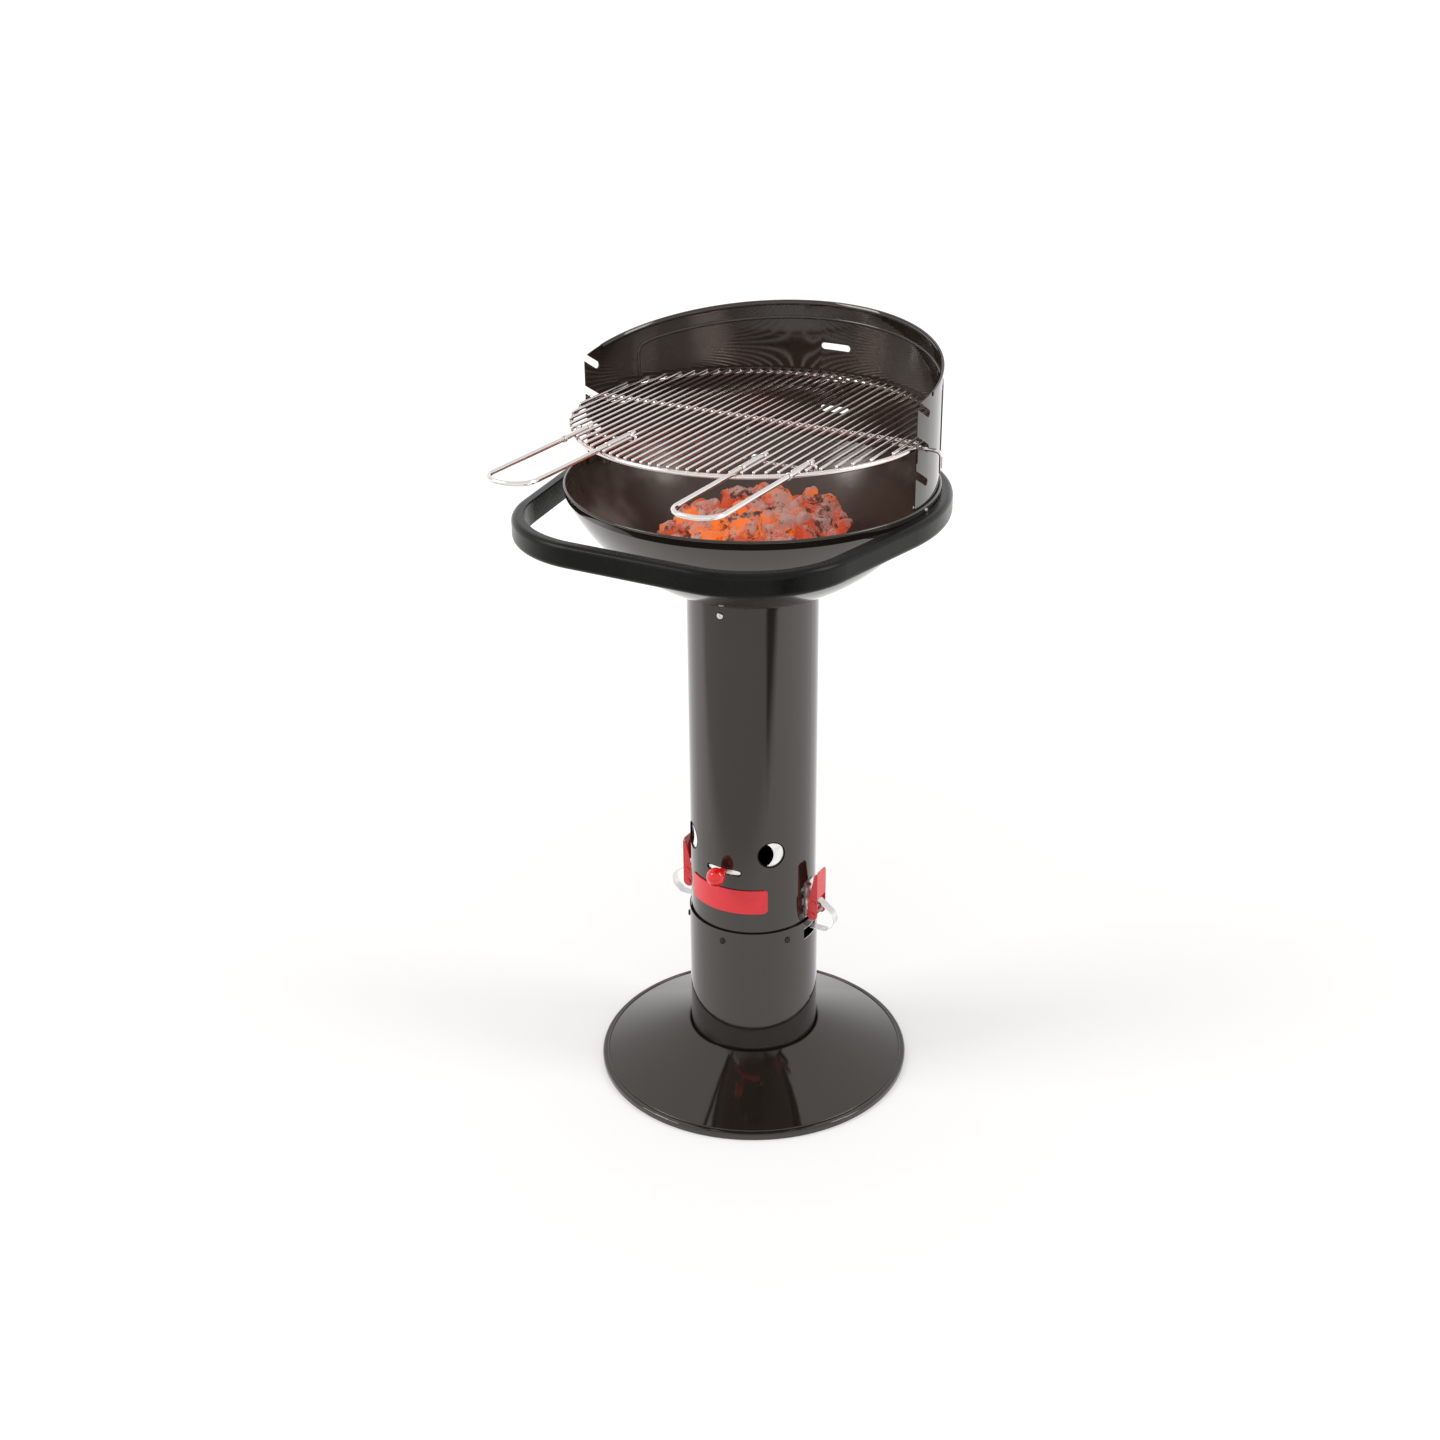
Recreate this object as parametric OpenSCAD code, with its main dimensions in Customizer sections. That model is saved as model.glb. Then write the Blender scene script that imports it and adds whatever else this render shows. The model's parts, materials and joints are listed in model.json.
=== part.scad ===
// Column charcoal grill: enamelled foot and ash tank, lighting column, fire bowl,
// tilted windscreen, hand rail and a hook-in cooking grate with two wire handles.
// The origin is on the floor under the column's axis, the front is -Y, and +Z is up.
// Angles are measured round the column from the front, positive towards +X.

/* [Foot and tank] */
// Outer radius of the foot's hem
foot_r = 215; // [200:1:230]
// Height of the foot's hem above the floor
foot_hem_h = 9; // [7:0.5:12]
// Height at which the foot's cone meets the tank
foot_neck_z = 58; // [52:1:64]
// Thickness of the foot's sheet
foot_sheet = 1.5; // [1:0.1:2]
// Gap between the column and the tank round it
tank_gap = 1.7; // [1:0.1:3]
// Wall of the tank tube
tank_wall = 1.2; // [1:0.1:1.4]
// Height of the tank tube's open edge
tank_top_z = 241.3; // [210:0.1:270]
// Height of the tank's floor
tank_floor_z = 46; // [43:1:48]

/* [Column] */
// Outer radius of the column tube
column_r = 85; // [75:0.5:95]
// Wall of the column tube
column_wall = 1.2; // [1:0.1:1.4]
// Depth of the stop screws, which carry the column, below the tank's edge
stop_drop = 15.8; // [14:0.1:18]
// Height of the column's top edge
column_top_z = 705.8; // [640:0.1:760]
// Radius of an air hole
air_hole_r = 19; // [15:0.5:21]
// Height of the air holes above the damper's slot
air_hole_rise = 27; // [25:0.5:34]
// Direction of an air hole from the front and the back
air_hole_angle = 45; // [43:1:50]

/* [Damper] */
// How far the damper stands turned shut at rest
damper_rest = 11; // [6:1:14]
// Radius of the ball knob
knob_r = 12.5; // [10:0.5:14]
// Distance of the knob's centre from the column's face
knob_reach = 18.5; // [16:0.5:23]
// Height of the damper's slot and knob above the tank's edge
slot_rise = 90.7; // [88:0.1:110]
// Half of the slot's sweep round the column
slot_half_angle = 17.5; // [17:0.5:22]
// Height of the slot
slot_h = 8.5; // [8:0.5:10]

/* [Front plate] */
// Half of the plate's sweep round the column
plate_half_angle = 40.5; // [30:0.5:45]
// Height of the plate's lower edge above the tank's edge
plate_rise = 30.7; // [20:0.1:34]
// Height of the plate
plate_h = 35; // [25:1:38]
// Thickness of the plate
plate_t = 1.6; // [1:0.1:2.5]

/* [Latches] */
// Distance of the lever's face from the column's face
lever_reach = 19; // [18.5:0.1:20]
// Width of the lever
lever_w = 25; // [24:0.5:28]
// Height of the lever's top above its pin
lever_h = 65.5; // [56:0.5:76]
// Height of the mouth that the hook leaves by, above the hook's pin
mouth_h = 8; // [7.5:0.1:12]
// Sheet of the lever
lever_sheet = 1.2; // [1:0.1:1.5]
// Distance of the lever's pin from the column's face
pivot_reach = 11.5; // [11.3:0.1:11.8]
// Height of the lever's pin above the tank's edge
pivot_rise = 12.2; // [11.2:0.1:13]
// Distance of the hook's pin from the column's face
hook_pin_reach = 13; // [12.8:0.1:13.3]
// Height of the hook's pin above the lever's pin
hook_pin_rise = 17.5; // [17:0.1:18.5]
// Width of the sprung hook
hook_w = 12; // [9:0.5:14]
// Thickness of the sprung hook
hook_t = 1.2; // [0.8:0.1:1.4]
// How far the hook leans down as it leaves the mouth
hook_lean = 35; // [30:1:40]
// Straight stretch of the hook before its bow
hook_run = 22; // [20:0.5:24]
// Radius of the hook's bow
hook_bow_r = 17; // [15:0.5:18]
// Width of the catch slot in the tank
catch_w = 32; // [20:1:36]
// Height of the catch slot
catch_h = 16; // [12:1:18]
// Depth of the catch slot's upper edge below the tank's edge
catch_drop = 11.3; // [10.5:0.1:12]

/* [Bowl] */
// Outer radius of the bowl's upright band
bowl_r = 233.5; // [205:0.5:260]
// Height of the bowl's rim
bowl_rim_z = 850; // [800:1:920]
// Height of the upright band under the rim
band_h = 9.5; // [8.5:0.5:14]
// Radius of the arc in the dish's section
dish_arc_r = 254.9; // [225:0.1:290]
// Height of the dish's lower edge above the column's top
neck_rise = 4.2; // [3:0.1:8]
// Sheet of the bowl
bowl_sheet = 1.2; // [1:0.1:1.4]
// Radius of the rolled rim's bead
rim_bead_r = 1.8; // [1.5:0.1:1.8]
// Depth of the collar that stands in the column
spigot_h = 26; // [20:1:32]

/* [Windscreen] */
// Gap between the windscreen and the rolled rim round it
screen_gap = 0.2; // [0.1:0.1:0.5]
// Sheet of the windscreen
screen_sheet = 1.2; // [1:0.1:1.3]
// Half of the windscreen's sweep, from the back
screen_half_angle = 95; // [93:0.5:97]
// Height of the top edge above the bowl's rim at the sides
screen_side_h = 133; // [125:1:150]
// How much higher the top edge is at the back
screen_rise = 39; // [30:1:45]
// Height of one step of the cooking grate
level_pitch = 42; // [36:1:44]
// Slope of the front notches
notch_slope = 30; // [25:1:35]

/* [Rail] */
// Height of the rail's section
rail_h = 30; // [24:1:32]
// Depth of the rail's section
rail_d = 15.5; // [12:0.5:18]
// Depth of the rail's middle below the bowl's rim
rail_drop = 22; // [21:0.5:26]
// Distance from the bowl to the rail's outer face in front
rail_reach = 65.5; // [56:0.5:76]
// Outer radius of the rail's front corners
rail_corner_r = 140; // [120:1:145]
// Where the rail leaves the bowl, in front of the side
rail_leave = 10; // [8:0.5:14]
// Where the rail ends, behind the side
rail_end = 55; // [50:1:65]

/* [Cooking grate] */
// Gap between the grate and the windscreen
grate_gap = 4; // [2.5:0.5:8]
// Height of the rim wire's middle above the bowl's rim, on the second step
grate_rise = 74.5; // [72:0.5:80]
// Radius of the rim wire
grate_rim_wire = 3; // [2.5:0.1:3.2]
// Radius of a rod
rod_wire = 2; // [1.5:0.1:2.2]
// Spacing of the rods
rod_pitch = 12; // [11:0.25:13]
// Radius of the hook wires
side_hook_wire = 2.5; // [2:0.1:2.6]
// Distance of the side hooks from the middle line, towards the back
side_hook_y = 9; // [8:0.5:10]
// Radius of the rear tab's wire
tab_wire = 2; // [1.5:0.1:2.2]
// Radius of a handle's wire
handle_wire = 3; // [2.5:0.1:3.2]
// Distance from the grate to the front end of the handles
handle_reach = 134; // [110:1:150]
// Length of the handle legs on the grate
handle_seat = 96; // [80:1:105]
// Radius of a handle's corners
handle_corner_r = 26; // [18:0.5:29]

/* [Charcoal] */
// Radius of the charcoal grate
fuel_grate_r = 125.5; // [115:0.5:130]
// Radius of the charcoal grate's wires
fuel_wire = 2.5; // [2:0.1:3]
// Radius of the heap of charcoal
heap_r = 128; // [110:1:132]
// Height of the heap of charcoal
heap_h = 84.8; // [60:0.1:90]

/* [Fasteners] */
// Radius of a machine screw's shank
screw_r = 2.4; // [2:0.1:2.6]
// Radius of a machine screw's head
screw_head_r = 4.4; // [4:0.1:4.6]
// Height of a machine screw's head
screw_head_h = 2.2; // [1.6:0.1:2.6]

/* [Hidden] */
$fn = 96;

enamel = [0.07, 0.065, 0.065];
bright = [0.82, 0.8, 0.78];
red = [0.8, 0.14, 0.18];

// Clearances
weld_gap = 0.05;
pin_gap = 0.06;
seat_gap = 0.3;
skin_gap = 0.1;

// Places that follow from the sizes above
tank_in_r = column_r + tank_gap;
tank_r = tank_in_r + tank_wall;
stop_z = tank_top_z - stop_drop;
catch_top_z = tank_top_z - catch_drop;
plate_z = tank_top_z + plate_rise;
slot_z = tank_top_z + slot_rise;
air_hole_z = slot_z + air_hole_rise;
knob_centre = column_r + knob_reach;
pivot = [column_r + pivot_reach, tank_top_z + pivot_rise];
hook_pivot = [column_r + hook_pin_reach, pivot.y + hook_pin_rise];
lever_face = column_r + lever_reach;
lever_top_z = pivot.y + lever_h;
mouth_z = hook_pivot.y + mouth_h;
dish_top_z = bowl_rim_z - band_h;
screen_side_z = bowl_rim_z + screen_side_h;
grate_z = bowl_rim_z + grate_rise;
rail_z = bowl_rim_z - rail_drop;
rail_front = bowl_r + rail_reach;
column_in_r = column_r - column_wall;
column_z = stop_z + screw_r + skin_gap;
damper_r = column_in_r - seat_gap;
damper_sheet = 1;
damper_in_r = damper_r - damper_sheet;
damper_margin = 7;
damper_foot = 14;
damper_low = slot_z - damper_foot;
damper_high = air_hole_z + air_hole_r + damper_margin;
stud_r = 3;
collar_r = tank_r + skin_gap;

function polar(r, a) = [r * sin(a), -r * cos(a)];
function heading(a) = [cos(a), sin(a)];
function left_of(a) = [-sin(a), cos(a)];

// Points along a bend of radius r that starts at p with heading h and turns by a
bend_step = 7.5;
function bend(p, h, r, a) =
    let (s = sign(a), c = p + s * r * left_of(h), n = max(2, ceil(abs(a) / bend_step)))
    [for (i = [1:n]) c - s * r * left_of(h + a * i / n)];
function last(list) = list[len(list) - 1];

// Outline of a sheet of thickness t whose middle follows the points
function sheet_side(points, t) =
    [for (i = [0:len(points) - 1])
        let (a = points[max(i - 1, 0)], b = points[i], c = points[min(i + 1, len(points) - 1)],
            d1 = (b - a) / max(norm(b - a), 0.000001), d2 = (c - b) / max(norm(c - b), 0.000001),
            d = (d1 + d2) / norm(d1 + d2), n = [-d.y, d.x],
            inside = i > 0 && i < len(points) - 1,
            half_turn = inside ? acos(min(1, max(-1, d1 * d2))) / 2 : 0)
        b + n * t / 2 / cos(half_turn)];
function reversed(list) = [for (i = [len(list) - 1:-1:0]) list[i]];
module sheet_outline(points, t) {
    polygon(concat(sheet_side(points, t), reversed(sheet_side(points, -t))));
}

// Puts a shape at an angle round the column with its own +Z pointing outwards
module radial(a, z) {
    translate([0, 0, z])
        rotate([0, 0, a])
            rotate([90, 0, 0])
                children();
}

// Tool for a round hole through the wall that stands at a radius from the axis
bore_depth = 30;
module wall_bore(a, z, wall_r, r) {
    radial(a, z)
        translate([0, 0, wall_r - bore_depth / 2])
            cylinder(r = r, h = bore_depth);
}

// Part of a tube between two radii, two heights and two angles from the front
module tube_part(r_in, r_out, z_low, z_high, a_from, a_to) {
    rotate([0, 0, a_from - 90])
        rotate_extrude(angle = a_to - a_from)
            translate([r_in, z_low])
                square([r_out - r_in, z_high - z_low]);
}

module tube(r_in, r_out, z_low, z_high) {
    translate([0, 0, z_low])
        difference() {
            cylinder(r = r_out, h = z_high - z_low);
            translate([0, 0, -1])
                cylinder(r = r_in, h = z_high - z_low + 2);
        }
}

// Shape drawn in the plane of the axis and the side, given a width across it
module across(w) {
    rotate([90, 0, 0])
        linear_extrude(w, center = true)
            children();
}

module wire(p, q, r) {
    d = q - p;
    translate(p)
        rotate([0, acos(d.z / norm(d)), atan2(d.y, d.x)])
            cylinder(r = r, h = norm(d), $fn = 24);
}

module on_side(side) {
    mirror([side < 0 ? 1 : 0, 0, 0])
        children();
}

// Foot and tank

foot_flange = 9;
foot_round = 3;
foot_step_w = 6;
foot_cone_round = 6;
foot_step_r = foot_r - foot_step_w;
foot_cone_angle = atan((foot_neck_z - foot_hem_h) / (foot_step_r - collar_r));
foot_inner_round = 3;
ledge_w = 15;
ledge_round = 0.9;
ledge_low_z = tank_floor_z - tank_wall - skin_gap - foot_sheet;
foot_bolt_angles = [0, 120, 240];
foot_bolt_r = 3;
foot_bolt_ring = collar_r - ledge_w / 2;

module foot_disc() {
    half = foot_sheet / 2;
    out_r = foot_r - half;
    flange_start = [foot_r - foot_flange, half];
    flange_end = [out_r - foot_round, half];
    side_bend = bend(flange_end, 0, foot_round, 90);
    side_end = [out_r, foot_hem_h - half - foot_round];
    top_bend = bend(side_end, 90, foot_round, 90);
    step_end = [foot_step_r, foot_hem_h - half];
    cone_start = bend(step_end, 180, foot_cone_round, -foot_cone_angle);
    cone_heading = 180 - foot_cone_angle;
    neck_x = collar_r + half + foot_inner_round * (1 + sin(foot_cone_angle));
    cone_end = [neck_x, last(cone_start).y + (last(cone_start).x - neck_x) * tan(foot_cone_angle)];
    neck_bend = bend(cone_end, cone_heading, foot_inner_round, 90 + foot_cone_angle);
    collar_low = [last(neck_bend).x, ledge_low_z + half + ledge_round];
    ledge_bend = bend(collar_low, 270, ledge_round, -90);
    ledge_end = [collar_r - ledge_w, last(ledge_bend).y];
    color(enamel)
        difference() {
            rotate_extrude()
                sheet_outline(concat([flange_start, flange_end], side_bend, [side_end], top_bend,
                    [step_end], cone_start, [cone_end], neck_bend, [collar_low], ledge_bend,
                    [ledge_end]), foot_sheet);
            for (a = foot_bolt_angles)
                translate(concat(polar(foot_bolt_ring, a), [ledge_low_z - 1]))
                    cylinder(r = foot_bolt_r + weld_gap, h = foot_sheet + 2);
        }
}

module base_tube() {
    color(enamel)
        difference() {
            tube(tank_in_r, tank_r, tank_floor_z - tank_wall, tank_top_z);
            translate([-tank_r * 2, -catch_w / 2, catch_top_z - catch_h])
                cube([tank_r * 4, catch_w, catch_h]);
            for (a = stop_angles)
                wall_bore(a, stop_z, tank_r, screw_r + weld_gap);
        }
}

module tank_floor() {
    color(enamel)
        translate([0, 0, tank_floor_z - tank_wall])
            difference() {
                cylinder(r = tank_in_r - weld_gap, h = tank_wall);
                for (a = foot_bolt_angles)
                    translate(concat(polar(foot_bolt_ring, a), [-1]))
                        cylinder(r = foot_bolt_r + weld_gap, h = tank_wall + 2);
            }
}

foot_nut_r = 5.5;
foot_nut_h = 5;
foot_bolt_end = 2;
foot_bolt_head_h = 3;

module foot_bolts() {
    color(bright)
        for (a = foot_bolt_angles)
            translate(concat(polar(foot_bolt_ring, a), [0])) {
                translate([0, 0, ledge_low_z - foot_nut_h - foot_bolt_end])
                    cylinder(r = foot_bolt_r - weld_gap,
                        h = tank_floor_z + foot_nut_h + foot_bolt_end + 0.5 - ledge_low_z);
                translate([0, 0, tank_floor_z + weld_gap])
                    cylinder(r1 = foot_nut_r, r2 = foot_nut_r - 1.5, h = foot_bolt_head_h);
            }
}

module foot_nuts() {
    color(bright)
        for (a = foot_bolt_angles)
            translate(concat(polar(foot_bolt_ring, a), [ledge_low_z - foot_nut_h - weld_gap]))
                difference() {
                    cylinder(r = foot_nut_r, h = foot_nut_h, $fn = 6);
                    translate([0, 0, -1])
                        cylinder(r = foot_bolt_r, h = foot_nut_h + 2);
                }
}

stop_angles = [0, 60, 120, 180, 240, 300];
stop_depth = 2.3;

// Pan head screw that points inwards, with the seat of its head at a given radius
module pan_screw(seat_r, tip_r) {
    translate([0, 0, tip_r])
        cylinder(r = screw_r, h = seat_r + 0.5 - tip_r);
    translate([0, 0, seat_r])
        cylinder(r1 = screw_head_r, r2 = screw_head_r * 0.72, h = screw_head_h);
}

module stop_screws() {
    color(bright)
        for (a = stop_angles)
            radial(a, stop_z)
                pan_screw(tank_r + skin_gap, column_in_r - stop_depth);
}

// Column and damper

column_screw_angles = [0, 120, 240];
column_screw_drop = 9.8;
column_screw_z = column_top_z - column_screw_drop;
spigot_r = column_in_r - weld_gap;
spigot_in_r = spigot_r - bowl_sheet;
air_hole_angles = [air_hole_angle, 180 - air_hole_angle, 180 + air_hole_angle, -air_hole_angle];
rivet_r = 2;
rivet_rises = [14.5, 38.5];
rivet_zs = [for (rise = rivet_rises) pivot.y + rise];

// Slot with round ends, cut straight in from the front
module damper_slot() {
    half = column_r * sin(slot_half_angle) - slot_h / 2;
    translate([0, 0, slot_z])
        rotate([90, 0, 0])
            linear_extrude(column_r + bore_depth) {
                for (s = [-1, 1])
                    translate([s * half, 0])
                        circle(r = slot_h / 2);
                square([half * 2, slot_h], center = true);
            }
}

module column_tube() {
    color(enamel)
        difference() {
            tube(column_in_r, column_r, column_z, column_top_z);
            damper_slot();
            for (a = air_hole_angles)
                wall_bore(a, air_hole_z, column_r, air_hole_r);
            for (a = column_screw_angles)
                wall_bore(a, column_screw_z, column_r, screw_r + weld_gap);
            for (a = [-90, 90], z = rivet_zs)
                wall_bore(a, z, column_r, rivet_r + weld_gap);
        }
}

module column_screws() {
    color(bright)
        for (a = column_screw_angles)
            radial(a, column_screw_z)
                pan_screw(column_r + skin_gap, spigot_in_r - 4);
}

module damper_ring() {
    color(bright)
        difference() {
            tube(damper_in_r, damper_r, damper_low, damper_high);
            for (a = air_hole_angles)
                wall_bore(a - damper_rest, air_hole_z, damper_r, air_hole_r);
            wall_bore(0, slot_z, damper_r, stud_r + weld_gap);
        }
}

stud_head_r = 6;
stud_head_h = 2.1;
knob_neck_r = 5;

module damper_stud() {
    color(bright)
        radial(0, slot_z) {
            translate([0, 0, damper_in_r - seat_gap - stud_head_h])
                cylinder(r = stud_head_r, h = stud_head_h);
            translate([0, 0, damper_in_r - 1])
                cylinder(r = stud_r, h = knob_centre - damper_in_r + 1);
        }
}

module damper_knob() {
    color(red)
        radial(0, slot_z)
            difference() {
                union() {
                    translate([0, 0, knob_centre])
                        sphere(r = knob_r);
                    translate([0, 0, column_r + seat_gap * 2])
                        cylinder(r1 = knob_neck_r, r2 = knob_neck_r - 1,
                            h = knob_centre - knob_r / 2 - column_r);
                }
                cylinder(r = stud_r + weld_gap, h = knob_centre + 0.5);
            }
}

plate_in_r = column_r + skin_gap;
plate_corner = 2.8;

module front_plate() {
    half = (plate_in_r + plate_t) * sin(plate_half_angle);
    c = plate_corner;
    color(red)
        intersection() {
            tube(plate_in_r, plate_in_r + plate_t, plate_z - 1, plate_z + plate_h + 1);
            translate([0, 0, plate_z])
                rotate([90, 0, 0])
                    linear_extrude(column_r + bore_depth)
                        polygon([[-half, c], [c - half, 0], [half - c, 0], [half, c],
                            [half, plate_h - c], [half - c, plate_h], [c - half, plate_h],
                            [-half, plate_h - c]]);
        }
}

// Latches. Both are drawn at +X and mirrored for the left.

bracket_sheet = 1.5;
bracket_side_gap = 0.7;
bracket_in_r = column_r + skin_gap;
bracket_w = lever_w - (lever_sheet + bracket_side_gap) * 2;
bracket_half_angle = asin(bracket_w / 2 / bracket_in_r);
bracket_ear_t = 1.4;
bracket_ear_r = 5.5;
bracket_foot = 7.5;
bracket_h = 53;
bracket_low_z = pivot.y - bracket_foot;
bracket_high_z = bracket_low_z + bracket_h;
lever_pin_r = 2;
lever_pin_head_r = 3.4;
hook_pin_r = 3.1;
lever_ear_r = lever_face - pivot.x;
lever_ear_in = lever_w / 2 - lever_sheet;
lever_tip_depth = 4.5;

module latch_bracket(side) {
    color(bright)
        on_side(side)
            difference() {
                union() {
                    tube_part(bracket_in_r, bracket_in_r + bracket_sheet, bracket_low_z, bracket_high_z,
                        90 - bracket_half_angle, 90 + bracket_half_angle);
                    for (s = [-1, 1])
                        translate([0, s * (bracket_w - bracket_ear_t) / 2, 0])
                            across(bracket_ear_t) {
                                translate(pivot)
                                    circle(r = bracket_ear_r);
                                translate([bracket_in_r, pivot.y - bracket_ear_r])
                                    square([pivot.x - bracket_in_r, bracket_ear_r * 2]);
                            }
                }
                translate([pivot.x, 0, pivot.y])
                    rotate([90, 0, 0])
                        cylinder(r = lever_pin_r + weld_gap, h = bracket_w * 2, center = true);
                for (z = rivet_zs)
                    wall_bore(90, z, column_r, rivet_r + weld_gap);
                cylinder(r = column_r + weld_gap, h = column_top_z);
            }
}

module bracket_rivets() {
    head_h = 1.4;
    head_r = 3.6;
    tail_r = column_in_r - 1.6;
    color(bright)
        for (a = [-90, 90], z = rivet_zs)
            radial(a, z) {
                translate([0, 0, tail_r])
                    cylinder(r = rivet_r, h = bracket_in_r + bracket_sheet + 0.5 - tail_r);
                translate([0, 0, bracket_in_r + bracket_sheet + weld_gap])
                    cylinder(r1 = head_r, r2 = head_r - 1.4, h = head_h);
                translate([0, 0, tail_r])
                    cylinder(r = head_r - 0.6, h = column_in_r - tail_r - 0.2);
            }
}

module lever_pin(side) {
    half = lever_w / 2 + 0.3;
    color(bright)
        on_side(side)
            translate([pivot.x, 0, pivot.y])
                rotate([90, 0, 0]) {
                    cylinder(r = lever_pin_r, h = half * 2 + 0.4, center = true);
                    for (s = [-1, 1])
                        translate([0, 0, s * (half + 0.5)])
                            cylinder(r = lever_pin_head_r, h = 1, center = true);
                }
}

module lever_side_shape() {
    inner = pivot.x - lever_ear_r + 1.5;
    top = lever_top_z - 2;
    difference() {
        union() {
            translate(pivot)
                circle(r = lever_ear_r);
            polygon([[lever_face, pivot.y], [lever_face, lever_top_z], [lever_face - 1.5, lever_top_z],
                [lever_face - lever_tip_depth, top - 3], [inner, hook_pivot.y + 4],
                [pivot.x - lever_ear_r, pivot.y]]);
        }
        translate(pivot)
            circle(r = lever_pin_r + pin_gap);
        translate(hook_pivot)
            circle(r = hook_pin_r + weld_gap);
    }
}

module lever(side) {
    color(red)
        on_side(side)
            difference() {
                across(lever_w)
                    lever_side_shape();
                translate([0, -lever_ear_in, 0])
                    cube([lever_face - lever_sheet, lever_ear_in * 2, lever_top_z + 5]);
                translate([0, -lever_ear_in, 0])
                    cube([lever_face * 2, lever_ear_in * 2, mouth_z]);
                for (s = [-1, 1])
                    translate([lever_face, s * lever_w / 2, lever_top_z])
                        rotate([45, 0, 0])
                            cube([lever_face, 5, 5], center = true);
            }
}

module hook_pin(side) {
    color(bright)
        on_side(side)
            translate([hook_pivot.x, 0, hook_pivot.y])
                rotate([90, 0, 0]) {
                    cylinder(r = hook_pin_r, h = lever_w + 0.5, center = true);
                    for (s = [-1, 1])
                        translate([0, 0, s * (lever_w / 2 + 0.45)])
                            cylinder(r = hook_pin_r + 0.8, h = 0.8, center = true);
                }
}

hook_eye_r = hook_pin_r + pin_gap + hook_t / 2;
hook_tongue_z = catch_top_z - seat_gap - hook_t / 2;
hook_tip = column_r + 0.45;
hook_bow_turn = 105;
hook_last_turn = 180 - hook_lean - hook_bow_turn;
hook_last_r = 5;
hook_eye_turn = 300;

module sprung_hook(side) {
    eye_heading = hook_eye_turn - hook_lean;
    eye_start = hook_pivot + hook_eye_r * left_of(eye_heading);
    eye = bend(eye_start, eye_heading, hook_eye_r, -hook_eye_turn);
    run_end = last(eye) + hook_run * heading(-hook_lean);
    bow = bend(run_end, -hook_lean, hook_bow_r, -hook_bow_turn);
    bow_heading = -hook_lean - hook_bow_turn;
    drop = last(bow).y - hook_tongue_z - hook_last_r * (1 - cos(hook_last_turn));
    down_end = last(bow) + drop / sin(hook_last_turn) * heading(bow_heading);
    last_bend = bend(down_end, bow_heading, hook_last_r, -hook_last_turn);
    color(bright)
        on_side(side)
            across(hook_w)
                sheet_outline(concat([eye_start], eye, [run_end], bow, [down_end], last_bend,
                    [[hook_tip, hook_tongue_z]]), hook_t);
}

// Bowl, windscreen and rail

// The dish's section is one arc from the neck up to the band
rim_bead_inset = 0.3;
neck_ledge = 3;
neck_r = column_r + neck_ledge;
neck_z = column_top_z + neck_rise;
dish_chord = [bowl_r - neck_r, dish_top_z - neck_z];
dish_centre = [neck_r, neck_z] + dish_chord / 2
    + sqrt(pow(dish_arc_r / norm(dish_chord), 2) - 0.25) * [-dish_chord.y, dish_chord.x];
function arc_side(inset, d) = sqrt(pow(dish_arc_r - inset, 2) - pow(d, 2));
function dish_r(z, inset) = dish_centre.x + arc_side(inset, dish_centre.y - z);
function dish_z(r, inset) = dish_centre.y - arc_side(inset, r - dish_centre.x);

// Half section of everything inside the dish, set in from its outer face
module dish_half(inset) {
    intersection() {
        translate(dish_centre)
            circle(r = dish_arc_r - inset, $fn = 240);
        square([bowl_r - inset, bowl_rim_z]);
    }
}

module bowl_section() {
    step_z = column_top_z + skin_gap * 5;
    difference() {
        dish_half(0);
        dish_half(bowl_sheet);
        translate([0, dish_top_z])
            square([bowl_r * 2, bowl_r]);
        square([neck_r - bowl_sheet, bowl_rim_z]);
    }
    translate([bowl_r - bowl_sheet, dish_top_z])
        square([bowl_sheet, bowl_rim_z - dish_top_z]);
    translate([bowl_r - rim_bead_inset, bowl_rim_z])
        circle(r = rim_bead_r, $fn = 32);
    translate([spigot_in_r, step_z])
        square([neck_r - spigot_in_r, neck_z + bowl_sheet - step_z]);
    translate([spigot_in_r, column_top_z - spigot_h])
        square([spigot_r - spigot_in_r, spigot_h + 2]);
}

side_bolt_margin = 6.5;
rear_bolt_margin = 5;
side_bolt_angle = 180 - screen_half_angle + side_bolt_margin;
rear_bolt_angle = 90 + rail_end + rear_bolt_margin;
side_bolt_angles = [-side_bolt_angle, side_bolt_angle];
rear_bolt_angles = [-rear_bolt_angle, rear_bolt_angle];
screen_bolt_rise = 4.5;
screen_bolt_z = dish_top_z + screen_bolt_rise;
rail_screw_margins = [5, 13];
rail_screw_angles = [90 + rail_screw_margins[0], 90 + rail_end - rail_screw_margins[1]];
rail_screw_rise = 5;
rail_screw_z = rail_z + rail_screw_rise;

module bowl() {
    color(enamel)
        difference() {
            rotate_extrude($fn = 180)
                bowl_section();
            for (a = concat(side_bolt_angles, rear_bolt_angles))
                wall_bore(a, screen_bolt_z, bowl_r, screw_r + weld_gap);
            for (a = rail_screw_angles, s = [-1, 1])
                wall_bore(a * s, rail_screw_z, bowl_r, screw_r + weld_gap);
            for (a = column_screw_angles)
                wall_bore(a, column_screw_z, column_r, screw_r + weld_gap);
        }
}

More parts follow.
